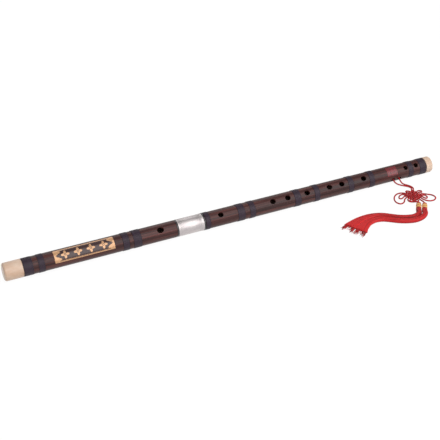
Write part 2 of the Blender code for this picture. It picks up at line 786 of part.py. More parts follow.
def build_skirt(number):
    """Loft a skirt along its own side of the shared middle line."""
    line, sizes = skirt_line()
    work = bmesh.new()
    rings = []
    for index, (point, (spacing, height)) in enumerate(zip(line, sizes)):
        before, after = line[max(0, index - 1)], line[min(len(line) - 1, index + 1)]
        ahead = (after - before).normalized()
        across = towards_flute(ahead)
        middle = point + across * tassel_side(number) * spacing
        middle += Vector((0, 0, height + FLOOR_GAP))
        section = skirt_section(middle, across, spacing - CLEARANCE / 2, height)
        rings.append([work.verts.new(p) for p in section])
    for k, corner in enumerate(rings[-1]):
        corner.co += ahead * ragged_end(k, number)
    for ring, following in zip(rings, rings[1:]):
        for k in range(SKIRT_SECTION_POINTS):
            after = (k + 1) % SKIRT_SECTION_POINTS
            work.faces.new((ring[k], ring[after], following[after], following[k]))
    work.faces.new(rings[0][::-1])
    work.faces.new(rings[-1])
    bmesh.ops.triangulate(work, faces=work.faces[-1:])
    bmesh.ops.recalc_face_normals(work, faces=work.faces)
    mesh = bpy.data.meshes.new(f"tassel_skirt_{number}")
    work.to_mesh(mesh)
    work.free()
    return add(f"tassel_skirt_{number}", mesh, "silk")


def build_tassel():
    for number in (1, 2):
        build_hanging_cord(number)
        build_knot_cord(number)
        build_tassel_head(number)
        build_skirt(number)


def shade_smooth():
    """Apply the modifiers, and shade each piece smooth with its edges sharp."""
    depsgraph = bpy.context.evaluated_depsgraph_get()
    for item in collection("dizi").objects:
        if item.type != "MESH":
            continue
        mesh = bpy.data.meshes.new_from_object(item.evaluated_get(depsgraph))
        item.modifiers.clear()
        item.data = mesh
        mesh.shade_smooth()
        mesh.set_sharp_from_angle(angle=SHARP_ANGLE)


def main():
    clear_scene()
    flute = empty("flute_axis", axis_height())
    foot = empty("foot_section", 0, flute)
    sleeve = empty("sleeve_slide", 0, foot)
    head = empty("head_turn", 0, sleeve)
    build_foot(foot)
    build_sleeve(sleeve)
    build_head(head)
    build_tassel()
    shade_smooth()


main()
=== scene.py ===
"""Dresses a two-section dizi: lacquered bamboo, thread bindings, metal joint, knot and tassel.

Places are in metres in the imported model's frame. The flute's axis runs along X, with the head end
at -X and the foot end at +X, and the surface that it lies on is z = 0.
"""

from __future__ import annotations

import logging
import math
import random
from collections.abc import Callable, Sequence
from dataclasses import dataclass
from enum import Enum

import bpy
from mathutils import Matrix, Vector


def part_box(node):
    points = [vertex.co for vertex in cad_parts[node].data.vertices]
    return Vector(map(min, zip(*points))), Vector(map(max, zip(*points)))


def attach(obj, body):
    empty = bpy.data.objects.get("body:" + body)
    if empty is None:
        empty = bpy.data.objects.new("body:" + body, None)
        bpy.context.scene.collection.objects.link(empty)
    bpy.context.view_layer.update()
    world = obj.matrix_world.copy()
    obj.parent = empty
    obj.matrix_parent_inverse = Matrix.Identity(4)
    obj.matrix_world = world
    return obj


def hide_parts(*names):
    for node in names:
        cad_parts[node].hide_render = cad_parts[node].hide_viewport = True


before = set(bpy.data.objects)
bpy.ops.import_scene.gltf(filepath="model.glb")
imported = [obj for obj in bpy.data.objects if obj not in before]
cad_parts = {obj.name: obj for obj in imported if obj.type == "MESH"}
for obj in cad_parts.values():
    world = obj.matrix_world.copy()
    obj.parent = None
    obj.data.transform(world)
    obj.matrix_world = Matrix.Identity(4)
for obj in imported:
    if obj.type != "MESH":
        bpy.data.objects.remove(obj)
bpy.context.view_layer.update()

MM = 0.001
WHITE = (1.0, 1.0, 1.0, 1.0)
AXIS_HEIGHT = sum(corner.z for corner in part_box("head_end_cap")) / 2
CAD_SIDES = 32
BINDING_CAD_SIDES = 24

log = logging.getLogger("dizi")

Colour = tuple[float, float, float, float]
Point = tuple[float, float, float]
Outline = list[tuple[float, float]]
# A section's middle, its half width and half height as vectors, and the way ahead
Section = tuple[Vector, Vector, Vector, Vector]


class Body(Enum):
    """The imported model's bodies."""

    HEAD = "head_section"
    SLEEVE = "sleeve"
    FOOT = "foot_section"


class Slot(Enum):
    """The record's material slots."""

    BAMBOO = "bamboo"
    THREAD = "thread"
    BONE = "bone"
    HORN = "horn"
    NICKEL = "nickel"
    CORK = "cork"
    SILK = "silk"
    GOLD = "gold"


# Shader expressions


class Socket:
    """A node's output, on which arithmetic adds Math nodes."""

    def __init__(self, graph: Graph, output: bpy.types.NodeSocket) -> None:
        """Wrap an output of the graph's nodes."""
        self.graph = graph
        self.output = output

    def __add__(self, other: Socket | float) -> Socket:
        """Add."""
        return self.graph.math("ADD", self, other)

    __radd__ = __add__

    def __sub__(self, other: Socket | float) -> Socket:
        """Subtract from this."""
        return self.graph.math("SUBTRACT", self, other)

    def __rsub__(self, other: float) -> Socket:
        """Subtract this."""
        return self.graph.math("SUBTRACT", other, self)

    def __mul__(self, other: Socket | float) -> Socket:
        """Multiply."""
        return self.graph.math("MULTIPLY", self, other)

    __rmul__ = __mul__

    def __lt__(self, other: Socket | float) -> Socket:
        """Give 1 where this is less, and 0 elsewhere."""
        return self.graph.math("LESS_THAN", self, other)

    def __gt__(self, other: Socket | float) -> Socket:
        """Give 1 where this is greater, and 0 elsewhere."""
        return self.graph.math("GREATER_THAN", self, other)

    def __abs__(self) -> Socket:
        """Drop the sign."""
        return self.graph.math("ABSOLUTE", self)


class Graph:
    """A material's nodes."""

    def __init__(self, tree: bpy.types.NodeTree) -> None:
        """Start from a tree that already holds its output node."""
        self.tree = tree

    def node(self, kind: str, settings: dict | None = None, inputs: dict | None = None) -> bpy.types.Node:
        """Add a node.

        Args:
            kind: The node's type.
            settings: Properties to set first. A ramp's stops are given as "stops".
            inputs: Values or Sockets by the input's name or number.

        Returns:
            The node.
        """
        made = self.tree.nodes.new(kind)
        for name, value in (settings or {}).items():
            if name == "stops":
                self.set_stops(made.color_ramp, value)
            else:
                setattr(made, name, value)
        for key, value in (inputs or {}).items():
            if isinstance(value, Socket):
                self.tree.links.new(value.output, made.inputs[key])
            else:
                made.inputs[key].default_value = value
        return made

    @staticmethod
    def set_stops(ramp: bpy.types.ColorRamp, stops: Sequence[tuple[float, Colour]]) -> None:
        """Give a colour ramp its stops, in order of position.

        Args:
            ramp: The colour ramp.
            stops: The stops, as (position, colour).
        """
        while len(ramp.elements) < len(stops):
            ramp.elements.new(1.0)
        for element, (position, colour) in zip(ramp.elements, stops):
            element.position = position
            element.color = colour

    def out(self, made: bpy.types.Node, key: int | str = 0) -> Socket:
        """Wrap a node's output."""
        return Socket(self, made.outputs[key])

    def math(self, operation: str, *values: Socket | float) -> Socket:
        """Add a Math node for an operation on values."""
        inputs = dict(enumerate(values))
        return self.out(self.node("ShaderNodeMath", {"operation": operation}, inputs))

    def mix(self, factor: Socket, first: Socket | Colour, second: Socket | Colour) -> Socket:
        """Mix two colours, from the first at 0 to the second at 1."""
        inputs = {0: factor, 6: first, 7: second}
        return self.out(self.node("ShaderNodeMix", {"data_type": "RGBA"}, inputs), 2)

    def place(self) -> tuple[Socket, Socket, Socket]:
        """Give the surface point's x, y and z in the model's frame at rest.

        Returns:
            The three coordinates.
        """
        where = self.out(self.node("ShaderNodeTexCoord"), "Object")
        split = self.node("ShaderNodeSeparateXYZ", inputs={0: where})
        return self.out(split, 0), self.out(split, 1), self.out(split, 2)

    def noise(self, along: Point, detail: float = 3.0) -> Socket:
        """Give noise that has this many cells to a metre along x, y and z.

        Args:
            along: The cells to a metre.
            detail: How much finer noise is added.

        Returns:
            A value from 0 to 1.
        """
        joined = self.node("ShaderNodeCombineXYZ", inputs=dict(enumerate(self.scaled(along))))
        inputs = {"Vector": self.out(joined), "Scale": 1.0, "Detail": detail}
        return self.out(self.node("ShaderNodeTexNoise", inputs=inputs))

    def scaled(self, factors: Point) -> list[Socket]:
        """Give the surface point's coordinates, each times its factor."""
        return [axis * factor for axis, factor in zip(self.place(), factors)]

    def ramp(self, factor: Socket, stops: Sequence[tuple[float, Colour]]) -> Socket:
        """Turn a value into a colour."""
        return self.out(self.node("ShaderNodeValToRGB", {"stops": stops}, {0: factor}))

    def bump(self, height: Socket, strength: float, distance: float) -> Socket:
        """Turn a height into a normal."""
        inputs = {"Height": height, "Strength": strength, "Distance": distance}
        return self.out(self.node("ShaderNodeBump", inputs=inputs))

    def around(self) -> tuple[Socket, Socket]:
        """Give the distance from the flute's axis, and the angle above the front horizontal.

        Returns:
            The distance and the angle.
        """
        _, y, z = self.place()
        up = z - AXIS_HEIGHT
        reach = self.math("SQRT", y * y + up * up)
        return reach, self.math("ARCTAN2", up, 0.0 - y)


def cleared(owner: bpy.types.Material | bpy.types.World) -> Graph:
    """Empty the node tree of a material or world.

    Args:
        owner: The material or world.

    Returns:
        Its nodes.
    """
    owner.use_nodes = True
    owner.node_tree.nodes.clear()
    return Graph(owner.node_tree)


def principled(name: str, paint: Callable[[Graph], dict], **constants: float) -> bpy.types.Material:
    """Make a material with one Principled shader.

    Args:
        name: The material's name.
        paint: Gives the shader's varying inputs, by socket name.
        constants: Values of other sockets, with underscores for the spaces in their names.

    Returns:
        The material.
    """
    made = bpy.data.materials.new(name)
    graph = cleared(made)
    inputs = {key.replace("_", " "): value for key, value in constants.items()}
    shader = graph.node("ShaderNodeBsdfPrincipled", inputs=inputs | paint(graph))
    graph.node("ShaderNodeOutputMaterial", inputs={"Surface": graph.out(shader)})
    return made


def srgb(code: str) -> Colour:
    """Turn a colour written as six hexadecimal digits into linear values.

    Args:
        code: The six digits.

    Returns:
        The linear colour.
    """
    parts = [int(code[i : i + 2], 16) / 255 for i in (0, 2, 4)]
    linear = [p / 12.92 if p <= 0.04045 else ((p + 0.055) / 1.055) ** 2.4 for p in parts]
    return (*linear, 1.0)


# Finishes


class Finish:
    """A surface finish. Each kind gives its name, its fixed inputs and its varying ones."""

    name: str
    constants: dict[str, float] = {}

    def material(self) -> bpy.types.Material:
        """Make the material."""
        return principled(self.name, self.paint, **self.constants)

    def paint(self, graph: Graph) -> dict:
        """Give the varying inputs.

        Args:
            graph: The material's nodes.

        Returns:
            Values or Sockets by the shader's input names.
        """
        raise NotImplementedError


@dataclass(frozen=True)
class Lacquer(Finish):
    """Stained and lacquered bamboo, streaked along its fibres, and raw inside its bore."""

    name = "bamboo_lacquer"
    constants = {"Coat_Roughness": 0.3, "Specular_IOR_Level": 0.3}
    dark: Colour = srgb("1b0808")
    middle: Colour = srgb("3d1815")
    light: Colour = srgb("633430")
    raw: Colour = srgb("3a241a")
    bore_wall: float = 8.3 * MM
    fibre: Point = (9.0, 520.0, 520.0)
    stain: Point = (6.0, 90.0, 90.0)
    fibre_share: float = 0.55
    tones: Point = (0.36, 0.5, 0.66)
    coat: float = 0.16

    def paint(self, graph: Graph) -> dict:
        """Give the varying inputs.

        Args:
            graph: The material's nodes.

        Returns:
            Values or Sockets by the shader's input names.
        """
        fibres = graph.noise(self.fibre, detail=5.0)
        stains = graph.noise(self.stain)
        tone = fibres * self.fibre_share + stains * (1.0 - self.fibre_share)
        stops = tuple(zip(self.tones, (self.dark, self.middle, self.light)))
        reach, _ = graph.around()
        inside = reach < self.bore_wall
        return {
            "Base Color": graph.mix(inside, graph.ramp(tone, stops), self.raw),
            "Roughness": fibres * 0.25 + 0.3 + inside * 0.3,
            "Coat Weight": self.coat - inside * self.coat,
            "Normal": graph.bump(fibres, 0.15, 0.25 * MM),
        }


@dataclass(frozen=True)
class Thread(Finish):
    """Wound thread under lacquer."""

    name: str
    dark: Colour
    light: Colour
    roughness: float
    metallic: float = 0.0
    coat: float = 0.3
    grain: Point = (2600.0, 500.0, 500.0)

    @property
    def constants(self) -> dict[str, float]:
        """The fixed inputs."""
        return {"Metallic": self.metallic, "Coat_Roughness": 0.2}

    def paint(self, graph: Graph) -> dict:
        """Give the varying inputs.

        Args:
            graph: The material's nodes.

        Returns:
            Values or Sockets by the shader's input names.
        """
        grain = graph.noise(self.grain, detail=2.0)
        return {
            "Base Color": graph.ramp(grain, ((0.35, self.dark), (0.68, self.light))),
            "Roughness": grain * 0.2 + self.roughness,
            "Coat Weight": self.coat,
            "Normal": graph.bump(grain, 0.2, 0.1 * MM),
        }


@dataclass(frozen=True)
class Bone(Finish):
    """Polished bone, faintly mottled."""

    name = "bone_polish"
    constants = {"Coat_Weight": 0.25, "Coat_Roughness": 0.15}
    pale: Colour = srgb("e4cbb6")
    warm: Colour = srgb("d6b094")
    mottle: Point = (60.0, 130.0, 130.0)
    pores: Point = (500.0, 1500.0, 1500.0)

    def paint(self, graph: Graph) -> dict:
        """Give the varying inputs.

        Args:
            graph: The material's nodes.

        Returns:
            Values or Sockets by the shader's input names.
        """
        mottle = graph.noise(self.mottle)
        pores = graph.noise(self.pores, detail=2.0)
        return {
            "Base Color": graph.ramp(mottle * 0.8 + pores * 0.2, ((0.3, self.warm), (0.7, self.pale))),
            "Roughness": pores * 0.2 + 0.25,
            "Normal": graph.bump(pores, 0.1, 0.1 * MM),
        }


@dataclass(frozen=True)
class Horn(Finish):
    """Polished black horn."""

    name = "horn_polish"
    constants = {"Coat_Weight": 0.5, "Coat_Roughness": 0.1}
    dark: Colour = srgb("151114")
    light: Colour = srgb("33272c")
    grain: Point = (80.0, 300.0, 300.0)

    def paint(self, graph: Graph) -> dict:
        """Give the varying inputs.

        Args:
            graph: The material's nodes.

        Returns:
            Values or Sockets by the shader's input names.
        """
        grain = graph.noise(self.grain)
        return {
            "Base Color": graph.ramp(grain, ((0.4, self.dark), (0.7, self.light))),
            "Roughness": grain * 0.15 + 0.2,
        }


@dataclass(frozen=True)
class Nickel(Finish):
    """Nickel silver, turned and brushed to a satin."""

    name = "nickel_satin"
    constants = {"Metallic": 1.0}
    bright: Colour = srgb("cdc6c5")
    dull: Colour = srgb("c2babb")
    turning: Point = (3500.0, 20.0, 20.0)
    cloud: Point = (70.0, 110.0, 110.0)

    def paint(self, graph: Graph) -> dict:
        """Give the varying inputs.

        Args:
            graph: The material's nodes.

        Returns:
            Values or Sockets by the shader's input names.
        """
        turning = graph.noise(self.turning, detail=1.0)
        cloud = graph.noise(self.cloud)
        return {
            "Base Color": graph.ramp(cloud, ((0.35, self.dull), (0.62, self.bright))),
            "Roughness": cloud * 0.03 + turning * 0.03 + 0.42,
            "Normal": graph.bump(turning, 0.02, 0.01 * MM),
        }


@dataclass(frozen=True)
class Cork(Finish):
    """Cut cork."""

    name = "cork_cut"
    dark: Colour = srgb("7a5736")
    light: Colour = srgb("b48a5e")
    cells: Point = (900.0, 900.0, 900.0)

    def paint(self, graph: Graph) -> dict:
        """Give the varying inputs.

        Args:
            graph: The material's nodes.

        Returns:
            Values or Sockets by the shader's input names.
        """
        cells = graph.noise(self.cells, detail=4.0)
        return {
            "Base Color": graph.ramp(cells, ((0.35, self.dark), (0.65, self.light))),
            "Roughness": cells * 0.1 + 0.8,
            "Normal": graph.bump(cells, 0.4, 0.3 * MM),
        }


@dataclass(frozen=True)
class Silk(Finish):
    """Dyed silk, its tone varying at random over it, and from one loose thread to the next."""

    name: str
    deep: Colour
    bright: Colour
    roughness: float
    threads: Point
    sheen: float = 0.05
    by_thread: float = 0.5

    @property
    def constants(self) -> dict[str, float]:
        """The fixed inputs."""
        return {"Sheen_Weight": self.sheen, "Sheen_Roughness": 0.4}

    def paint(self, graph: Graph) -> dict:
        """Give the varying inputs.

        Args:
            graph: The material's nodes.

        Returns:
            Values or Sockets by the shader's input names.
        """
        threads = graph.noise(self.threads, detail=3.0)
        island = graph.out(graph.node("ShaderNodeNewGeometry"), "Random Per Island")
        tone = threads * (1.0 - self.by_thread) + island * self.by_thread
        return {
            "Base Color": graph.ramp(tone, ((0.3, self.deep), (0.62, self.bright))),
            "Roughness": threads * 0.2 + self.roughness,
            "Normal": graph.bump(threads, 0.25, 0.15 * MM),
        }


@dataclass(frozen=True)
class GoldPanel(Finish):
    """A gold panel with a dark cartouche, a fine line inside it, and a row of four-petalled flowers."""

    name = "panel_gold"
    constants = {"Coat_Weight": 0.4, "Coat_Roughness": 0.15}
    middle: float
    middle_angle: float
    radius: float
    gold: Colour = srgb("dcae84")
    gold_dark: Colour = srgb("c48f62")
    ground: Colour = srgb("34100f")
    half_length: float = 36.6 * MM
    half_width: float = 8.1 * MM
    end_wave: float = 3.6 * MM
    line: tuple[float, float] = (0.45 * MM, 0.8 * MM)
    flower_pitch: float = 18.0 * MM
    petal: tuple[float, float] = (4.2 * MM, 1.7 * MM)
    heart: tuple[float, float] = (0.9 * MM, 1.6 * MM)
    grain: Point = (1500.0, 1500.0, 1500.0)
    metallic: float = 0.35

    def inside(self, graph: Graph, along: Socket, across: Socket, inset: float) -> Socket:
        """Mark the inside of the cartouche.

        Args:
            graph: The material's nodes.
            along: The distance from the panel's middle along the flute.
            across: The distance from it round the flute.
            inset: How far the cartouche is drawn in.

        Returns:
            1 inside, and 0 elsewhere.
        """
        wave = graph.math("COSINE", across * (1.5 * math.pi / self.half_width)) * self.end_wave
        ends = abs(along) < wave + (self.half_length - inset)
        return ends * (abs(across) < self.half_width - inset)

    def flowers(self, graph: Graph, along: Socket, across: Socket) -> Socket:
        """Mark the petals and the heart of each flower.

        Args:
            graph: The material's nodes.
            along: The distance from the panel's middle along the flute.
            across: The distance from it round the flute.

        Returns:
            1 on them, and 0 elsewhere.
        """
        half = self.flower_pitch / 2
        local = graph.math("FLOORED_MODULO", along, self.flower_pitch) - half
        reach = graph.math("SQRT", local * local + across * across)
        turn = graph.math("ARCTAN2", across, local)
        length, swing = self.petal
        petals = reach < graph.math("COSINE", turn * 4.0) * swing + length
        core, gap = self.heart
        within = abs(along) < 2 * self.flower_pitch
        return (petals * (reach > gap) + (reach < core)) * within

    def paint(self, graph: Graph) -> dict:
        """Give the varying inputs.

        Args:
            graph: The material's nodes.

        Returns:
            Values or Sockets by the shader's input names.
        """
        x, _, _ = graph.place()
        _, angle = graph.around()
        along = x - self.middle
        across = (angle - self.middle_angle) * self.radius
        outer, inner = (self.inside(graph, along, across, inset) for inset in self.line)
        ground = self.inside(graph, along, across, 0.0) - (outer - inner)
        ground = ground * (1.0 - self.flowers(graph, along, across))
        grain = graph.noise(self.grain)
        gold = graph.ramp(grain, ((0.35, self.gold_dark), (0.6, self.gold)))
        return {
            "Base Color": graph.mix(ground, gold, self.ground),
            "Metallic": self.metallic - ground * self.metallic,
            "Roughness": grain * 0.15 + 0.3,
            "Normal": graph.bump(1.0 - ground, 0.3, 0.08 * MM),
        }


@dataclass(frozen=True)
class RedStamp(Finish):
    """A red square with nested squares of short dark strokes."""

    name = "stamp_red"
    constants = {"Coat_Weight": 0.4, "Coat_Roughness": 0.15}
    middle: float
    middle_angle: float
    radius: float
    red: Colour = srgb("7c1a23")
    dark: Colour = srgb("34090d")
    pitch: float = 3.0 * MM
    stroke: float = 0.8 * MM
    grain: Point = (1200.0, 1200.0, 1200.0)

    def paint(self, graph: Graph) -> dict:
        """Give the varying inputs.

        Args:
            graph: The material's nodes.

        Returns:
            Values or Sockets by the shader's input names.
        """
        x, _, _ = graph.place()
        _, angle = graph.around()
        along = abs(x - self.middle)
        across = abs((angle - self.middle_angle) * self.radius)
        reach = graph.math("MAXIMUM", along, across)
        stroke = graph.math("FLOORED_MODULO", reach, self.pitch) < self.stroke
        gap = graph.math("MINIMUM", along, across) < self.stroke
        grain = graph.noise(self.grain)
        return {
            "Base Color": graph.mix(stroke * (1.0 - gap), self.red, self.dark),
            "Roughness": grain * 0.15 + 0.35,
            "Normal": graph.bump(grain, 0.1, 0.1 * MM),
        }


# Shapes


def add_mesh(name: str, points: Sequence[Vector], faces: Sequence[Sequence[int]]) -> bpy.types.Object:
    """Make a smooth-shaded mesh object.

    Args:
        name: The object's name.
        points: Its points, in the model's frame.
        faces: Its faces, as numbers of points.

    Returns:
        The object.
    """
    mesh = bpy.data.meshes.new(name)
    mesh.from_pydata([tuple(p) for p in points], [], faces)
    mesh.validate()
    mesh.shade_smooth()
    item = bpy.data.objects.new(name, mesh)
    bpy.context.scene.collection.objects.link(item)
    return item


def dress(
    item: bpy.types.Object, material: bpy.types.Material, slot: Slot, body: Body, *nodes: str
) -> bpy.types.Object:
    """Make a new piece part of the object.

    Args:
        item: The piece.
        material: Its material.
        slot: The record's slot that the material belongs to; it is not used.
        body: The body that it rides on.
        nodes: The CAD nodes that it stands for.

    Returns:
        The piece.
    """
    item.data.materials.clear()
    item.data.materials.append(material)
    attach(item, body.value)
    if nodes:
        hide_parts(*nodes)
    return item


def flute_axis() -> Matrix:
    """Take a shape turned round Z to the flute's axis."""
    return Matrix.Translation((0, 0, AXIS_HEIGHT)) @ Matrix.Rotation(math.pi / 2, 4, "Y")


def lathe(name: str, outline: Outline, place: Matrix, sides: int, sharp: float = 35.0) -> bpy.types.Object:
    """Turn a closed outline round an axis.

    Args:
        name: The piece's name.
        outline: (distance along the axis, radius) points. A radius of 0 closes the shape there.
        place: Takes the Z axis to where the piece lies.
        sides: How many sides a turn has.
        sharp: The angle in degrees from which an edge stays sharp.

    Returns:
        The piece.
    """
    points: list[Vector] = []
    rings: list[list[int]] = []
    for along, radius in outline:
        if radius == 0:
            rings.append([len(points)] * sides)
            points.append(place @ Vector((0, 0, along)))
            continue
        rings.append(list(range(len(points), len(points) + sides)))
        for k in range(sides):
            turn = 2 * math.pi * k / sides
            points.append(place @ Vector((radius * math.cos(turn), radius * math.sin(turn), along)))
    faces = []
    for near, far in zip(rings, rings[1:] + rings[:1]):
        for k in range(sides):
            after = (k + 1) % sides
            corners = [near[k], near[after], far[after], far[k]]
            face = list(dict.fromkeys(corners))
            if len(face) > 2:
                faces.append(face)
    item = add_mesh(name, points, faces)
    item.data.set_sharp_from_angle(angle=math.radians(sharp))
    return item


def wound(start: float, length: float, radius: float, pitch: float, depth: float) -> Outline:
    """Outline the outer side of thread wound side by side.

    Args:
        start: Where the winding starts along its axis.
        length: How long it is.
        radius: The radius of its crests.
        pitch: The distance from one thread to the next.
        depth: How deep the valleys are.

    Returns:
        (distance along the axis, radius) points.
    """
    turns = max(1, round(length / pitch))
    steps = 4
    found = []
    for step in range(turns * steps + 1):
        share = step / (turns * steps)
        dip = depth * (1 - abs(math.sin(math.pi * step / steps)))
        found.append((start + length * share, radius - dip))
    return found


def bead(start: float, length: float, radius: float, height: float, steps: int = 10) -> Outline:
    """Outline a rolled bead, or a turned line where its height is below 0.

    Args:
        start: Where it starts along its axis.
        length: How long it is.
        radius: The radius that it stands on.
        height: How far it stands out in its middle.
        steps: How many sides its curve has.

    Returns:
        (distance along the axis, radius) points.
    """
    found = []
    for step in range(steps + 1):
        share = step / steps
        found.append((start + length * share, radius + height * math.sin(math.pi * share)))
    return found


def rounded(station: float, radius: float, rounding: float, outward: int, steps: int = 8) -> Outline:
    """Outline a quarter round from a cap's flat end to its side.

    Args:
        station: Where the flat end lies.
        radius: The radius of the side.
        rounding: The quarter round's own radius.
        outward: 1 where the flat end faces the foot, and -1 where it faces the head.
        steps: How many sides its curve has.

    Returns:
        (distance along the axis, radius) points.
    """
    found = []
    for step in range(steps + 1):
        turn = math.pi / 2 * step / steps
        along = outward * rounding * (1 - math.cos(turn))
        found.append((station - along, radius - rounding * (1 - math.sin(turn))))
    return found


def cad_ring(node: str, sides: int | None = None) -> tuple[float, float, float]:
    """Find where a turned CAD node lies on the flute.

    Args:
        node: The node.
        sides: Its number of sides, to get the radius of its corners and not of its flats.

    Returns:
        Its start, its end and its radius.
    """
    low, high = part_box(node)
    radius = (high.z - low.z) / 2
    if sides is not None:
        radius /= math.cos(math.pi / sides)
    return low.x, high.x, radius


def spline_point(four: Sequence[Vector], share: float) -> Vector:
    """Find a point of a centripetal Catmull-Rom curve.

    Args:
        four: Four points that the curve goes through.
        share: How far the point lies from the second of them to the third, from 0 to 1.

    Returns:
        The point.
    """
    times = [0.0]
    for first, second in zip(four, four[1:]):
        times.append(times[-1] + math.sqrt((second - first).length))
    at = times[1] + (times[2] - times[1]) * share

    def blend(points: list[Vector], reach: int) -> list[Vector]:
        """Blend each point with the next by the time that has passed."""
        pairs = enumerate(zip(points, points[1:]))
        return [a.lerp(b, (at - times[i]) / (times[i + reach] - times[i])) for i, (a, b) in pairs]

    low, high = blend(blend(list(four), 1), 2)
    return low.lerp(high, share)


def smooth_route(points: Sequence[Vector], spacing: float) -> list[Vector]:
    """Find points on a smooth curve.

    Args:
        points: The chosen points that it goes through.
        spacing: The distance between the points found, about.

    Returns:
        The points.
    """
    route = [Vector(p) for p in points]
    padded = [route[0] * 2 - route[1], *route, route[-1] * 2 - route[-2]]
    found = [route[0]]
    for four in zip(padded, padded[1:], padded[2:], padded[3:]):
        steps = max(1, round((four[2] - four[1]).length / spacing))
        found += [spline_point(four, step / steps) for step in range(1, steps + 1)]
    return found


def route_length(route: Sequence[Vector]) -> float:
    """Measure a route."""
    return sum((b - a).length for a, b in zip(route, route[1:]))


def carried_frames(route: Sequence[Vector]) -> list[tuple[Vector, Vector]]:
    """Carry two directions across a route along it, without twist.

    Args:
        route: The route's points.

    Returns:
        The two directions at each point.
    """
    ahead = (route[1] - route[0]).normalized()
    across = ahead.orthogonal().normalized()
    found = []
    for index in range(len(route)):
        before, after = route[max(0, index - 1)], route[min(len(route) - 1, index + 1)]
        ahead = (after - before).normalized()
        across = (across - ahead * across.dot(ahead)).normalized()
        found.append((across, ahead.cross(across)))
    return found


def close_tube(rings: int, sides: int, first: int = 0) -> list[list[int]]:
    """Give the faces of a tube whose two ends are closed.

    Args:
        rings: How many rings of points it has.
        sides: How many points a ring has.
        first: The number of its first point.

    Returns:
        The faces, as numbers of points.
    """
    faces = [[first + k for k in reversed(range(sides))]]
    for ring in range(rings - 1):
        low = first + ring * sides
        for k in range(sides):
            after = (k + 1) % sides
            faces.append([low + k, low + after, low + sides + after, low + sides + k])
    faces.append([first + (rings - 1) * sides + k for k in range(sides)])
    return faces


def twisted_cord(
    name: str,
    route: Sequence[Vector],
    radius: float,
    plies: int = 3,
    lay: float = 5.0 * MM,
    sides: int = 12,
    groove: float = 0.22,
) -> bpy.types.Object:
    """Sweep a cord of twisted plies along a route.

    Args:
        name: The piece's name.
        route: The cord's middle line.
        radius: The cord's outer radius.
        plies: How many strands are twisted together.
        lay: The length of one full turn of a strand.
        sides: How many points go round the cord.
        groove: How deep the grooves between the strands are, as a share of the radius.

    Returns:
        The piece.
    """
    points = []
    travelled = 0.0
    for index, (across, up) in enumerate(carried_frames(route)):
        if index:
            travelled += (route[index] - route[index - 1]).length
        for k in range(sides):
            turn = 2 * math.pi * k / sides
            phase = plies * (turn - 2 * math.pi * travelled / lay) / 2
            reach = radius * (1 - groove * (1 - abs(math.cos(phase))))
            points.append(route[index] + across * reach * math.cos(turn) + up * reach * math.sin(turn))
    return add_mesh(name, points, close_tube(len(route), sides))


# Flute


@dataclass
class Tubes:
    """The two bamboo sections, which keep their CAD shapes."""

    def build(self) -> list[bpy.types.Object]:
        """Dress the sections and the cork.

        Returns:
            The pieces.
        """
        lacquer, cork = Lacquer().material(), Cork().material()
        found = []
        for node, material in (("head_tube", lacquer), ("foot_tube", lacquer), ("stopper_cork", cork)):
            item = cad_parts[node]
            for slot in item.material_slots:
                slot.material = material
            found.append(item)
        return found


@dataclass
class Bindings:
    """Thread wound round the bamboo, each binding in its groove."""

    head_count: int = 4
    foot_count: int = 9
    pitch: float = 0.55 * MM
    depth: float = 0.14 * MM
    wall: float = 0.7 * MM
    sides: int = 64
    finish: Thread = Thread("binding_thread", srgb("13040f"), srgb("311230"), 0.45, coat=0.05)

    def build(self) -> list[bpy.types.Object]:
        """Make every binding.

        Returns:
            The pieces.
        """
        material = self.finish.material()
        found = []
        sections = (("head", self.head_count, Body.HEAD), ("foot", self.foot_count, Body.FOOT))
        for section, count, body in sections:
            for number in range(1, count + 1):
                node = f"{section}_binding_{number}"
                item = self.ring(f"{node}_thread", node)
                found.append(dress(item, material, Slot.THREAD, body, node))
        return found

    def ring(self, name: str, node: str) -> bpy.types.Object:
        """Make one binding in the place of its CAD ring.

        Args:
            name: The piece's name.
            node: The CAD ring.

        Returns:
            The piece.
        """
        start, end, radius = cad_ring(node, BINDING_CAD_SIDES)
        outline = wound(start, end - start, radius, self.pitch, self.depth)
        outline += [(end, radius - self.wall), (start, radius - self.wall)]
        return lathe(name, outline, flute_axis(), self.sides, sharp=80.0)


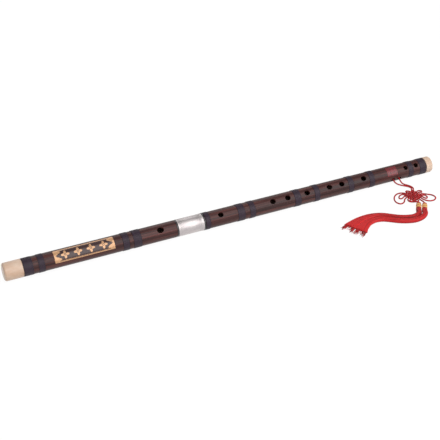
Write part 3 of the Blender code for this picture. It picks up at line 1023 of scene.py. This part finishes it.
@dataclass
class Caps:
    """The pale caps at the flute's two ends, and the horn rings beside the metal sleeve."""

    head_rounding: float = 3.0 * MM
    foot_rounding: float = 2.2 * MM
    wall: float = 7.0 * MM
    foot_wall: float = 4.0 * MM
    socket: float = 10.5 * MM
    bore: float = 7.8 * MM
    chamfer: float = 0.3 * MM
    ring_bore: float = 10.4 * MM
    head_ring_bore: float = 11.4 * MM
    sides: int = 96

    def build(self) -> list[bpy.types.Object]:
        """Make the caps and rings.

        Returns:
            The pieces.
        """
        bone, horn = Bone().material(), Horn().material()
        found = [
            dress(self.head_cap(), bone, Slot.BONE, Body.HEAD, "head_end_cap"),
            dress(self.foot_cap(), bone, Slot.BONE, Body.FOOT, "foot_end_cap"),
        ]
        for node, bore, body in (
            ("head_joint_ring", self.head_ring_bore, Body.HEAD),
            ("foot_joint_ring", self.ring_bore, Body.FOOT),
        ):
            found.append(dress(self.ring(node, bore), horn, Slot.HORN, body, node))
        return found

    def head_cap(self) -> bpy.types.Object:
        """Make the closed cap.

        Returns:
            The piece.
        """
        start, end, radius = cad_ring("head_end_cap")
        outline = [(start, 0.0), *rounded(start, radius, self.head_rounding, -1)]
        outline += [(end - self.chamfer, radius), (end, radius - self.chamfer)]
        outline += [(end, self.socket), (start + self.wall, self.socket), (start + self.wall, 0.0)]
        return lathe("head_cap_bone", outline, flute_axis(), self.sides)

    def foot_cap(self) -> bpy.types.Object:
        """Make the cap that the bore runs out through.

        Returns:
            The piece.
        """
        start, end, radius = cad_ring("foot_end_cap")
        face = rounded(end, radius, self.foot_rounding, 1)
        outline = [(start, self.socket), (start, radius - self.chamfer), (start + self.chamfer, radius)]
        outline += [*reversed(face), (end, self.bore)]
        outline += [(end - self.foot_wall, self.bore), (end - self.foot_wall, self.socket)]
        return lathe("foot_cap_bone", outline, flute_axis(), self.sides)

    def ring(self, node: str, bore: float) -> bpy.types.Object:
        """Make a horn ring with softened edges.

        Args:
            node: The CAD ring.
            bore: The radius of its hole.

        Returns:
            The piece.
        """
        start, end, radius = cad_ring(node)
        outline = [(start, bore), (start, radius - self.chamfer), (start + self.chamfer, radius)]
        outline += [(end - self.chamfer, radius), (end, radius - self.chamfer), (end, bore)]
        return lathe(f"{node}_horn", outline, flute_axis(), self.sides)


@dataclass
class Joint:
    """The metal sleeve, with a rolled bead at each end and fine lines beside them, and its tenon."""

    bead_length: float = 2.4 * MM
    bead_height: float = 0.28 * MM
    line_gap: float = 1.1 * MM
    line_width: float = 0.5 * MM
    line_depth: float = 0.12 * MM
    bore: float = 11.4 * MM
    tenon_bore: float = 10.4 * MM
    sides: int = 128

    def build(self) -> list[bpy.types.Object]:
        """Make the sleeve and the tenon's ferrule.

        Returns:
            The pieces.
        """
        material = Nickel().material()
        start, end, radius = cad_ring("joint_tenon", CAD_SIDES)
        outline = [(start, self.tenon_bore), (start, radius), (end, radius), (end, self.tenon_bore)]
        ferrule = lathe("tenon_ferrule", outline, flute_axis(), self.sides)
        return [
            dress(self.sleeve(), material, Slot.NICKEL, Body.SLEEVE, "joint_sleeve"),
            dress(ferrule, material, Slot.NICKEL, Body.FOOT, "joint_tenon"),
        ]

    def sleeve(self) -> bpy.types.Object:
        """Make the sleeve.

        Returns:
            The piece.
        """
        start, end, outer = cad_ring("joint_sleeve")
        radius = outer - self.bead_height
        inset = self.bead_length + self.line_gap
        outline = [(start, self.bore), *bead(start, self.bead_length, radius, self.bead_height)]
        for line in (start + inset, end - inset - self.line_width):
            outline += bead(line, self.line_width, radius, -self.line_depth, steps=4)
        outline += bead(end - self.bead_length, self.bead_length, radius, self.bead_height)
        outline.append((end, self.bore))
        return lathe("sleeve_nickel", outline, flute_axis(), self.sides, sharp=50.0)


@dataclass
class Patch:
    """A thin sheet wrapped on the bamboo."""

    name: str
    start: float
    length: float
    angle: float
    half_angle: float
    lift: float = 0.16 * MM
    thickness: float = 0.1 * MM
    head_radius: float = 12.35 * MM
    foot_radius: float = 11.95 * MM
    half_flute: float = 332.5 * MM
    columns: int = 24
    rows: int = 16

    def radius(self, station: float) -> float:
        """Find the bamboo's radius at a station."""
        share = (station + self.half_flute) / (2 * self.half_flute)
        return self.head_radius + (self.foot_radius - self.head_radius) * share

    @property
    def middle(self) -> float:
        """The station of the sheet's middle."""
        return self.start + self.length / 2

    def build(self, material: bpy.types.Material, slot: Slot, body: Body) -> bpy.types.Object:
        """Make the sheet and dress it.

        Args:
            material: Its material.
            slot: The record's slot that the material belongs to.
            body: The body that it rides on.

        Returns:
            The piece.
        """
        points = []
        for lift in (self.lift, self.lift - self.thickness):
            for column in range(self.columns + 1):
                station = self.start + self.length * column / self.columns
                reach = self.radius(station) + lift
                for row in range(self.rows + 1):
                    turn = self.angle + self.half_angle * (2 * row / self.rows - 1)
                    out = (-reach * math.cos(turn), AXIS_HEIGHT + reach * math.sin(turn))
                    points.append(Vector((station, *out)))
        item = add_mesh(self.name, points, self.faces())
        item.data.set_sharp_from_angle(angle=math.radians(40))
        return dress(item, material, slot, body)

    def faces(self) -> list[list[int]]:
        """Give the faces of the two sides and the edge between them.

        Returns:
            The faces, as numbers of points.
        """
        row_points = self.rows + 1
        layer = (self.columns + 1) * row_points
        found = []
        for column in range(self.columns):
            for row in range(self.rows):
                low = column * row_points + row
                top = [low, low + row_points, low + row_points + 1, low + 1]
                found += [top, [k + layer for k in reversed(top)]]
        edge = [column * row_points for column in range(self.columns)]
        edge += [self.columns * row_points + row for row in range(self.rows)]
        edge += [column * row_points + self.rows for column in range(self.columns, 0, -1)]
        edge += [row for row in range(self.rows, 0, -1)]
        for here, after in zip(edge, edge[1:] + edge[:1]):
            found.append([after, here, here + layer, after + layer])
        return found


@dataclass
class Ornaments:
    """The gold panel on the head section, and the red stamp on the foot section."""

    panel: Patch
    stamp: Patch

    def build(self) -> list[bpy.types.Object]:
        """Make both sheets.

        Returns:
            The pieces.
        """
        panel, stamp = self.panel, self.stamp
        gold = GoldPanel(panel.middle, panel.angle, panel.radius(panel.middle)).material()
        red = RedStamp(stamp.middle, stamp.angle, stamp.radius(stamp.middle)).material()
        return [
            panel.build(gold, Slot.GOLD, Body.HEAD),
            stamp.build(red, Slot.SILK, Body.FOOT),
        ]


# Cords

VENT_STATION = 268.2 * MM
VENT_HALF_GAP = 5.2 * MM
VENT_ROLL = math.radians(110.0)
CORD_RADIUS = 0.95 * MM
# The twisted plies stand a little proud of the round CAD cord
SILK_RADIUS = 1.12 * MM
CLEARANCE = 0.3 * MM
FLOOR_GAP = 0.05 * MM
WEAVE_HEIGHT = 1.55 * MM

# From each rear vent to the knot: millimetres, x from the vents' middle
HANGING_ROUTES = (
    ((-4.6, -15.6, 6.6), (-1.6, -18.4, 4.3), (3.2, -21.6, 2.9), (8.2, -25.4, 2.5), (11.8, -29.4, 2.5)),
    ((5.1, -15.4, 6.4), (6.4, -18.6, 4.0), (8.9, -21.4, 2.8), (11.8, -24.4, 2.5), (14.7, -28.9, 2.5)),
)
# Inside the bore: (share of the way from the vents' middle to the vent, reach from the axis)
BORE_ROUTE = ((0.46, 6.3), (0.83, 7.0), (0.97, 8.8), (0.98, 11.0))
BORE_REACH = 6.3 * MM
KNOT_ENTRY = (1.35 * MM, 17.6 * MM)
ENTRY_RUN = 2.4 * MM
NECK_RUN = 2.2 * MM

# Knot, in its own plane: x runs from its left corner to its right, y from its bottom to its top
KNOT_CENTRE = (5.3, -52.4, 0.0)
KNOT_TURN = math.radians(-26.8)
RIGHT_INNER_EAR = (
    (15.6, -3.7, -0.6),
    (18.7, -4.2, -1.2),
    (20.4, -0.8, -1.4),
    (18.4, 3.0, -1.2),
    (15.3, 3.1, -0.6),
)
RIGHT_OUTER_EAR = (
    (13.0, 6.9, -0.7),
    (20.5, 7.0, -1.4),
    (28.8, 4.8, -1.4),
    (32.6, -0.8, -1.4),
    (30.0, -7.4, -1.4),
    (22.4, -10.4, -1.4),
    (13.9, -7.7, -0.9),
)
LEFT_INNER_EAR = (
    (-14.9, -4.0, -0.6),
    (-18.4, -7.4, -1.2),
    (-21.3, -6.4, -1.4),
    (-21.0, -1.2, -1.4),
    (-18.0, 2.8, -1.2),
    (-15.2, 3.3, -0.6),
)
LEFT_OUTER_EAR = (
    (-12.6, 6.6, -0.7),
    (-18.4, 7.8, -1.4),
    (-25.0, 3.6, -1.4),
    (-28.9, -6.6, -1.4),
    (-27.0, -16.6, -1.4),
    (-20.6, -20.6, -1.4),
    (-15.4, -16.4, -1.4),
    (-13.4, -8.8, -1.0),
)
TOP_LEFT_EAR = ((-6.3, 12.2, -0.5), (-9.1, 13.2, -1.0), (-10.2, 10.5, -0.6))
TOP_RIGHT_EAR = (
    (6.0, 12.0, -0.4),
    (8.9, 14.9, -0.9),
    (12.9, 15.2, -1.2),
    (13.3, 11.8, -1.0),
    (9.6, 10.1, -0.5),
)
BOTTOM_LEFT_EAR = ((-3.3, -14.6, -0.4), (-5.7, -14.3, -0.6), (-6.4, -11.9, -0.4))
BOTTOM_RIGHT_EAR = ((3.3, -14.6, -0.4), (5.7, -14.3, -0.6), (6.4, -11.9, -0.4))
RIGHT_EXIT = ((9.4, -10.6, 0.0), (12.0, -15.4, 0.9))
LEFT_EXIT = ((-9.2, -10.4, 0.0), (-8.6, -14.6, 0.2), (-4.8, -17.4, 0.4), (0.4, -17.5, 0.9), (4.4, -18.2, 1.3))

# Tassel heads and skirts
HEADS_CENTRE = (-0.3, -83.1, 0.0)
HEADS_TURN = math.radians(237.3)
HEAD_RADIUS = 3.5 * MM
HEAD_LENGTH = 14.0 * MM
HEAD_SPACING = 8.6 * MM
BAND_STEP = 0.55 * MM
SKIRT_START_RUN = 3.0 * MM
SKIRT_START_SIZE = (4.3 * MM, 3.9 * MM)
# The skirts' shared middle line past the heads: (x, y, half the spacing, half the height)
SKIRT_ROUTE = (
    (-7.6, -96.4, 4.3, 3.9),
    (-13.6, -101.6, 4.2, 4.0),
    (-24.2, -104.4, 4.0, 4.0),
    (-35.6, -102.2, 3.9, 4.0),
    (-47.2, -96.8, 3.9, 3.9),
    (-57.0, -89.4, 4.0, 3.7),
    (-66.5, -82.8, 4.4, 3.4),
    (-79.0, -79.0, 5.0, 3.0),
    (-92.6, -79.8, 6.0, 2.5),
    (-106.0, -84.8, 7.6, 1.9),
    (-119.6, -93.2, 9.6, 1.3),
)


def from_vents(point: Point) -> Vector:
    """Turn a chosen point, in millimetres from the vents' middle, into a place."""
    x, y, z = point
    return Vector((VENT_STATION + x * MM, y * MM, z * MM))


def knot_frame() -> Matrix:
    """Take the knot's plane to the floor beside the flute."""
    lift = Vector((0, 0, WEAVE_HEIGHT + CORD_RADIUS + FLOOR_GAP))
    return Matrix.Translation(from_vents(KNOT_CENTRE) + lift) @ Matrix.Rotation(KNOT_TURN, 4, "Z")


def side_of(number: int) -> int:
    """The first cord and the first tassel lie at -1, the others at +1."""
    return -1 if number == 1 else 1


def laid_cord(
    name: str, node: str, route: Sequence[Vector], material: bpy.types.Material
) -> bpy.types.Object:
    """Args:
        name: The piece's name.
        node: The CAD cord that it stands for.
        route: Its middle line.
        material: Its material.

    Returns:
        The piece.
    """
    item = twisted_cord(name, route, SILK_RADIUS)
    dress(item, material, Slot.SILK, Body.FOOT, node)
    route_length(route)
    return item


@dataclass
class HangingCords:
    """The two sides of the loop that is tied through the rear vents."""

    material: bpy.types.Material
    spacing: float = 0.5 * MM

    def route(self, number: int) -> list[Vector]:
        """Find one cord's middle line, from inside the bore to the knot.

        Args:
            number: 1 for the cord at the head's side, and 2 for the other.

        Returns:
            Its points.
        """
        out = Vector((0, -math.sin(VENT_ROLL), math.cos(VENT_ROLL)))
        side = side_of(number)

        def in_bore(along: float, reach: float) -> Vector:
            """Give a place on the vents' own plane."""
            return Vector((VENT_STATION + along, 0, AXIS_HEIGHT)) + out * reach

        route = [in_bore(side * CLEARANCE / 2, BORE_REACH)]
        route += [in_bore(side * VENT_HALF_GAP * share, reach * MM) for share, reach in BORE_ROUTE]
        route += [from_vents(p) for p in HANGING_ROUTES[number - 1]]
        aside, up = KNOT_ENTRY
        for reach in (up + CLEARANCE + ENTRY_RUN, up + CLEARANCE):
            route.append(knot_frame() @ Vector((side * aside, reach, 0)))
        return smooth_route(route, self.spacing)

    def build(self) -> list[bpy.types.Object]:
        """Returns:
            The pieces.
        """
        return [
            laid_cord(f"loop_cord_{number}", f"hanging_cord_{number}", self.route(number), self.material)
            for number in (1, 2)
        ]


@dataclass
class Knot:
    """Two cords woven over and under each other in a flat diamond, with ear loops at its sides."""

    material: bpy.types.Material
    strands: int = 5
    pitch: float = 4.0 * MM
    steps: int = 3
    ear_spacing: float = 2.6 * MM
    spacing: float = 0.6 * MM

    def strand(self, falling: bool, number: int, backwards: bool = False) -> list[Vector]:
        """Find one strand, which goes over and under the others in turn.

        Args:
            falling: Whether it falls from left to right.
            number: Its place among the strands that are parallel to it.
            backwards: Whether its points run the other way.

        Returns:
            Its points, in the knot's plane.
        """
        diagonal = self.pitch / math.sqrt(2)
        found = []
        for step in range(self.strands * self.steps + 1):
            at = 0.5 + step / self.steps
            rise = WEAVE_HEIGHT * math.cos(math.pi * (number + at)) * (1 if falling else -1)
            i, j = (number, at) if falling else (at, number)
            found.append(Vector(((j - i) * diagonal, (self.strands + 1 - i - j) * diagonal, rise)))
        return found[::-1] if backwards else found

    def joined(self, before: list[Vector], chosen: Sequence[Point], after: list[Vector]) -> list[Vector]:
        """Find a smooth stretch between two runs of points.

        Args:
            before: The run that it leaves.
            chosen: Its chosen points, in millimetres.
            after: The run that it comes to.

        Returns:
            Its points.
        """
        route = [*before[-2:], *[Vector(p) * MM for p in chosen], *after[:2]]
        curve = smooth_route(route, self.ear_spacing)
        start = max(1, round((route[1] - route[0]).length / self.ear_spacing)) + 1
        end = max(1, round((route[-1] - route[-2]).length / self.ear_spacing)) + 1
        return curve[start:-end]

    def route(self, number: int) -> list[Vector]:
        """Find one cord's middle line, from the loop through the weave to its tassel.

        Args:
            number: 1 or 2.

        Returns:
            Its points.
        """
        first = number == 1
        runs = [
            self.strand(first, 1),
            self.strand(not first, self.strands),
            self.strand(not first, self.strands - 1, backwards=True),
            self.strand(first, 2, backwards=True),
            self.strand(first, 3),
        ]
        if first:
            stretches = [(), RIGHT_INNER_EAR, BOTTOM_LEFT_EAR, RIGHT_OUTER_EAR, TOP_LEFT_EAR, RIGHT_EXIT]
        else:
            stretches = [(), LEFT_INNER_EAR, BOTTOM_RIGHT_EAR, LEFT_OUTER_EAR, TOP_RIGHT_EAR, LEFT_EXIT]
        aside, up = KNOT_ENTRY
        entry = [Vector((side_of(number) * aside, reach, 0)) for reach in (up, up - ENTRY_RUN)]
        back = knot_frame().inverted()
        seat = head_start(number)
        end = [back @ (seat - heads_direction() * reach) for reach in (NECK_RUN, CLEARANCE)]
        route = list(entry)
        before = entry
        for chosen, after in zip(stretches, [*runs, end]):
            route += self.joined(before, chosen, after) + after
            before = after
        return smooth_route([knot_frame() @ p for p in route], self.spacing)

    def build(self) -> list[bpy.types.Object]:
        """Returns:
            The pieces.
        """
        return [
            laid_cord(f"knot_silk_{number}", f"knot_cord_{number}", self.route(number), self.material)
            for number in (1, 2)
        ]


# Tassels


def heads_direction() -> Vector:
    """The way that the two heads point, away from the knot."""
    return Vector((math.cos(HEADS_TURN), math.sin(HEADS_TURN), 0))


def towards_flute(ahead: Vector) -> Vector:
    """Sideways from a direction on the floor, to its right."""
    return ahead.cross(Vector((0, 0, 1)))


def head_start(number: int) -> Vector:
    """The middle of a head's face towards the knot.

    Args:
        number: The head's number.

    Returns:
        The place.
    """
    ahead = heads_direction()
    height = HEAD_RADIUS + BAND_STEP + FLOOR_GAP
    middle = from_vents(HEADS_CENTRE) + Vector((0, 0, height))
    return middle + towards_flute(ahead) * side_of(number) * HEAD_SPACING / 2 - ahead * HEAD_LENGTH / 2


@dataclass
class TasselHeads:
    """The bound heads, each with two gold rings."""

    silk: bpy.types.Material
    neck: float = 1.7 * MM
    shoulder: float = 0.8 * MM
    pitch: float = 0.5 * MM
    depth: float = 0.1 * MM
    band_starts: tuple[float, float] = (3.6 * MM, 8.6 * MM)
    band_width: float = 3.8 * MM
    band_pitch: float = 0.52 * MM
    band_wall: float = 0.7 * MM
    band_crown: float = 0.6
    sides: int = 40
    gold: Thread = Thread("gold_thread", srgb("dc9a44"), srgb("ffdc92"), 0.3, metallic=0.4)

    def place(self, number: int) -> Matrix:
        """Take the Z axis to a head's middle line."""
        turn = Vector((0, 0, 1)).rotation_difference(heads_direction()).to_matrix().to_4x4()
        return Matrix.Translation(head_start(number)) @ turn

    def build(self) -> list[bpy.types.Object]:
        """Make both heads and their rings.

        Returns:
            The pieces.
        """
        gold = self.gold.material()
        found = []
        for number in (1, 2):
            place = self.place(number)
            outline = [(0.0, 0.0), (0.0, self.neck), (self.shoulder, HEAD_RADIUS - self.shoulder)]
            run = HEAD_LENGTH - 2 * self.shoulder
            outline += wound(self.shoulder, run, HEAD_RADIUS, self.pitch, self.depth)
            outline += [(HEAD_LENGTH, HEAD_RADIUS - self.shoulder), (HEAD_LENGTH, 0.0)]
            item = lathe(f"head_silk_{number}", outline, place, self.sides, sharp=80.0)
            found.append(dress(item, self.silk, Slot.SILK, Body.FOOT, f"tassel_cap_{number}"))
            for letter, start in zip("ab", self.band_starts):
                found.append(self.band(number, letter, start, place, gold))
        return found

    def band(
        self, number: int, letter: str, start: float, place: Matrix, gold: bpy.types.Material
    ) -> bpy.types.Object:
        """Make one gold ring, crowned across its width.

        Args:
            number: The head's number.
            letter: The ring's letter.
            start: Where it starts along the head.
            place: Takes the Z axis to the head's middle line.
            gold: Its material.

        Returns:
            The piece.
        """
        outer = HEAD_RADIUS + BAND_STEP
        flat = wound(start, self.band_width, outer, self.band_pitch, self.depth)
        outline = []
        for along, radius in flat:
            share = (along - start) / self.band_width
            drop = BAND_STEP * self.band_crown * (1 - math.sin(math.pi * share))
            outline.append((along, radius - drop))
        outline += [(start + self.band_width, outer - self.band_wall), (start, outer - self.band_wall)]
        item = lathe(f"gold_ring_{number}{letter}", outline, place, self.sides, sharp=80.0)
        return dress(item, gold, Slot.GOLD, Body.FOOT, f"tassel_band_{number}{letter}")


@dataclass
class Skirts:
    """The two skirts of loose silk threads, which curve away side by side and fray at their ends."""

    material: bpy.types.Material
    threads: int = 150
    thread_radius: float = 0.34 * MM
    thread_sides: int = 4
    spacing: float = 3.2 * MM
    core_share: float = 0.93
    core_sides: int = 28
    tail_square: float = 0.5
    tail_fan: float = 0.22
    wander: float = 0.10
    twist: float = 1.1
    depth: tuple[float, float] = (0.86, 0.99)
    swing: tuple[float, float] = (0.4, 1.0)
    waves: float = 9.0
    ragged: tuple[float, float] = (-12.0 * MM, 7.0 * MM)
    tip_run: float = 0.3
    tip_drop: float = 0.3 * MM
    tip_spread: float = 0.2
    tip_taper: float = 0.3
    seed: int = 11

    def line(self) -> tuple[list[Vector], Outline]:
        """Find the skirts' shared middle line.

        Returns:
            Its points, and half the spacing and half the height at each.
        """
        ahead = heads_direction()
        start = from_vents(HEADS_CENTRE) + ahead * (HEAD_LENGTH / 2 + CLEARANCE)
        route = [start, start + ahead * SKIRT_START_RUN]
        route += [from_vents((x, y, 0)) for x, y, _, _ in SKIRT_ROUTE]
        sizes = [SKIRT_START_SIZE, SKIRT_START_SIZE]
        sizes += [(spacing * MM, height * MM) for _, _, spacing, height in SKIRT_ROUTE]
        line = smooth_route(route, self.spacing)
        marks = [0.0]
        for a, b in zip(route, route[1:]):
            marks.append(marks[-1] + max(1, round((b - a).length / self.spacing)))
        found = []
        for index in range(len(line)):
            span = max(k for k in range(len(marks) - 1) if marks[k] <= index or k == 0)
            share = min(1.0, (index - marks[span]) / (marks[span + 1] - marks[span]))
            pair = zip(sizes[span], sizes[span + 1])
            found.append(tuple(a + (b - a) * share for a, b in pair))
        return line, found

    def build(self) -> list[bpy.types.Object]:
        """Make both skirts.

        Returns:
            The pieces.
        """
        line, sizes = self.line()
        found = []
        for number in (1, 2):
            item = self.skirt(number, line, sizes)
            found.append(dress(item, self.material, Slot.SILK, Body.FOOT, f"tassel_skirt_{number}"))
        return found

    def sections(self, number: int, line: list[Vector], sizes: Outline) -> list[Section]:
        """Find one skirt's sections.

        Args:
            number: The skirt's number.
            line: The skirts' shared middle line.
            sizes: Half the spacing and half the height at each of its points.

        Returns:
            The sections.
        """
        found = []
        for index, (point, (spacing, height)) in enumerate(zip(line, sizes)):
            ahead = (line[min(len(line) - 1, index + 1)] - line[max(0, index - 1)]).normalized()
            across = towards_flute(ahead)
            middle = point + across * side_of(number) * spacing + Vector((0, 0, height + FLOOR_GAP))
            found.append((middle, across * (spacing - CLEARANCE / 2), Vector((0, 0, height)), ahead))
        return found

    def around(self, section: Section, turn: float, share: float) -> Vector:
        """Find a way out from a section's middle to its side.

        Args:
            section: The section.
            turn: The angle round the section.
            share: How far along the skirt it lies, from 0 to 1, because the section grows squarer.

        Returns:
            The offset from the middle.
        """
        _, wide, high, _ = section
        power = 1 - (1 - self.tail_square) * share
        cosine, sine = math.cos(turn), math.sin(turn)
        aside = math.copysign(abs(cosine) ** power, cosine) * (1 + self.tail_fan * share**3)
        up = math.copysign(abs(sine) ** power, sine)
        return wide * aside + high * up

    def skirt(self, number: int, line: list[Vector], sizes: Outline) -> bpy.types.Object:
        """Make one skirt: a core, and threads laid round it.

        Args:
            number: The skirt's number.
            line: The skirts' shared middle line.
            sizes: Half the spacing and half the height at each of its points.

        Returns:
            The piece.
        """
        draw = random.Random(self.seed + number)
        sections = self.sections(number, line, sizes)
        points: list[Vector] = []
        for index, section in enumerate(sections[:-2]):
            for k in range(self.core_sides):
                turn = 2 * math.pi * k / self.core_sides
                offset = self.around(section, turn, index / len(sections))
                points.append(section[0] + offset * self.core_share)
        faces = close_tube(len(sections) - 2, self.core_sides)
        for k in range(self.threads):
            turn = 2 * math.pi * (k + draw.random()) / self.threads
            self.thread(turn, draw, sections, points, faces)
        return add_mesh(f"silk_skirt_{number}", points, faces)

    def thread(
        self,
        turn: float,
        draw: random.Random,
        sections: list[Section],
        points: list[Vector],
        faces: list[list[int]],
    ) -> None:
        """Add one thread, which wanders round the core and tapers to its tip.

        Args:
            turn: Where it starts round the skirt.
            draw: Gives its random numbers.
            sections: The skirt's sections.
            points: The skirt's points, which it adds to.
            faces: The skirt's faces, which it adds to.
        """
        depth = draw.uniform(*self.depth)
        phase, swing = draw.uniform(0, 2 * math.pi), draw.uniform(*self.swing) * self.wander
        reach_on = draw.uniform(*self.ragged)
        drop = 0
        while reach_on < -self.spacing:
            reach_on += self.spacing
            drop += 1
        used = sections[: len(sections) - drop]
        route = []
        for index, section in enumerate(used):
            share = index / (len(sections) - 1)
            angle = turn + self.twist * share + swing * math.sin(phase + self.waves * share)
            inner = 1 - self.thread_radius / section[2].length
            route.append(section[0] + self.around(section, angle, share) * depth * inner)
        _, wide, _, ahead = used[-1]
        aside = wide * draw.uniform(-self.tip_spread, self.tip_spread)
        tip = route[-1] + ahead * max(reach_on, self.spacing * self.tip_run) + aside
        tip.z = max(tip.z - self.tip_drop, self.thread_radius)
        route.append(tip)
        first = len(points)
        for index, (across, up) in enumerate(carried_frames(route)):
            radius = self.thread_radius * (self.tip_taper if index == len(route) - 1 else 1.0)
            for k in range(self.thread_sides):
                side = 2 * math.pi * (k + 0.5) / self.thread_sides
                points.append(route[index] + (across * math.cos(side) + up * math.sin(side)) * radius)
        faces += close_tube(len(route), self.thread_sides, first)


# Studio


@dataclass
class Studio:
    """The floor, the light and the camera."""

    floor_size: float = 8.0
    floor_drop: float = 0.1 * MM
    floor_white: Colour = srgb("cfcdcb")
    floor_glow: float = 0.82
    glow_strength: float = 1.14
    world_strength: float = 0.36
    front_strength: float = 0.42
    front: Point = (0.0, -0.8, 0.6)
    front_slope: float = 1.5
    front_edge: float = 0.4
    lamps: tuple[tuple[str, Point, float, float], ...] = (
        ("key", (0.3, -1.1, 1.25), 2.2, 26.0),
        ("fill", (1.2, -1.0, 0.9), 1.2, 3.0),
        ("rim", (0.3, 1.3, 0.9), 1.0, 4.0),
    )
    target: Point = (-0.0202, -0.0062, 0.0125)
    camera_turn: float = math.radians(-23.83)
    camera_height: float = math.radians(35.44)
    camera_distance: float = 1.5
    lens: float = 86.4
    sensor: float = 36.0

    def build(self) -> None:
        """Set up the studio."""
        bpy.context.scene.view_settings.view_transform = "Standard"
        self.add_floor()
        self.add_world()
        for name, place, size, power in self.lamps:
            self.add_light(name, place, size, power)
        self.add_camera()

    def add_floor(self) -> None:
        """Lay a plain floor that shows as white and keeps the object's shadow."""
        half = self.floor_size / 2
        sides = ((-half, -half), (half, -half), (half, half), (-half, half))
        corners = [Vector((x, y, -self.floor_drop)) for x, y in sides]
        floor = add_mesh("floor", corners, [[0, 1, 2, 3]])
        made = bpy.data.materials.new("floor_white")
        graph = cleared(made)
        seen = self.seen(graph)
        matt = graph.node("ShaderNodeBsdfDiffuse", inputs={"Color": self.floor_white})
        glow = graph.node("ShaderNodeEmission", inputs={"Color": WHITE, "Strength": self.glow_strength})
        inputs = {0: seen * self.floor_glow, 1: graph.out(matt), 2: graph.out(glow)}
        mixed = graph.node("ShaderNodeMixShader", inputs=inputs)
        graph.node("ShaderNodeOutputMaterial", inputs={"Surface": graph.out(mixed)})
        floor.data.materials.append(made)

    @staticmethod
    def seen(graph: Graph) -> Socket:
        """Give 1 for what the camera sees, directly or in a reflection.

        Args:
            graph: The material's nodes.

        Returns:
            1 for that, and 0 for the rest.
        """
        path = graph.node("ShaderNodeLightPath")
        direct, glossy = graph.out(path, "Is Camera Ray"), graph.out(path, "Is Glossy Ray")
        through = graph.out(path, "Is Transmission Ray")
        return graph.math("MAXIMUM", graph.math("MAXIMUM", direct, glossy), through)

    def add_world(self) -> None:
        """Light everything evenly, show white behind it, and mirror a brighter front in the metal."""
        world = bpy.data.worlds.new("studio")
        bpy.context.scene.world = world
        graph = cleared(world)
        path = graph.node("ShaderNodeLightPath")
        direct, glossy = graph.out(path, "Is Camera Ray"), graph.out(path, "Is Glossy Ray")
        where = graph.out(graph.node("ShaderNodeTexCoord"), "Generated")
        split = graph.node("ShaderNodeSeparateXYZ", inputs={0: where})
        _, y, z = self.front
        facing = graph.out(split, 2) * z + graph.out(split, 1) * y
        facing = facing * self.front_slope - self.front_edge
        lobe = graph.out(graph.node("ShaderNodeClamp", inputs={0: facing}))
        mirrored = glossy * (lobe * self.front_strength)
        strength = mirrored + direct * (1.0 - self.world_strength) + self.world_strength
        white = graph.node("ShaderNodeBackground", inputs={0: WHITE, 1: strength})
        graph.node("ShaderNodeOutputWorld", inputs={0: graph.out(white)})

    def add_light(self, name: str, place: Point, size: float, power: float) -> None:
        """Hang a soft square light that faces the object.

        Args:
            name: The light's name.
            place: Where it hangs.
            size: The length of its side.
            power: Its power in watts.
        """
        data = bpy.data.lights.new(name, "AREA")
        data.size = size
        data.energy = power
        lamp = bpy.data.objects.new(name, data)
        lamp.location = place
        lamp.rotation_euler = (Vector(self.target) - Vector(place)).to_track_quat("-Z", "Y").to_euler()
        bpy.context.scene.collection.objects.link(lamp)

    def add_camera(self) -> None:
        """Look at the object as the photograph does."""
        data = bpy.data.cameras.new("camera")
        data.lens = self.lens
        data.sensor_width = self.sensor
        camera = bpy.data.objects.new("camera", data)
        level = Vector((math.sin(self.camera_turn), -math.cos(self.camera_turn), 0))
        back = level * math.cos(self.camera_height) + Vector((0, 0, math.sin(self.camera_height)))
        camera.location = Vector(self.target) + back * self.camera_distance
        camera.rotation_euler = (-back).to_track_quat("-Z", "Y").to_euler()
        bpy.context.scene.collection.objects.link(camera)
        bpy.context.scene.camera = camera


def main() -> None:
    """Build everything in order and report each piece."""
    logging.basicConfig(level=logging.INFO, format="%(name)s: %(message)s")
    Studio().build()
    cord = Silk("cord_silk", srgb("6c040c"), srgb("ce121a"), 0.5, (700.0, 700.0, 700.0), by_thread=0.0)
    skirt = Silk("skirt_silk", srgb("6e0406"), srgb("d01518"), 0.5, (160.0, 900.0, 900.0))
    cord_silk, skirt_silk = cord.material(), skirt.material()
    ornaments = Ornaments(
        panel=Patch("gold_panel", -263.4 * MM, 84.8 * MM, math.radians(52.5), math.radians(44.0)),
        stamp=Patch("red_stamp", 253.2 * MM, 17.0 * MM, math.radians(55.0), math.radians(36.0)),
    )
    assemblies = [
        HangingCords(cord_silk),
        Knot(cord_silk),
        Tubes(),
        Bindings(),
        Caps(),
        Joint(),
        ornaments,
        TasselHeads(cord_silk),
        Skirts(skirt_silk),
    ]
    for assembly in assemblies:
        for piece in assembly.build():
            log.info("%s: %s, %d faces", type(assembly).__name__, piece.name, len(piece.data.polygons))


if __name__ == "__main__":
    main()
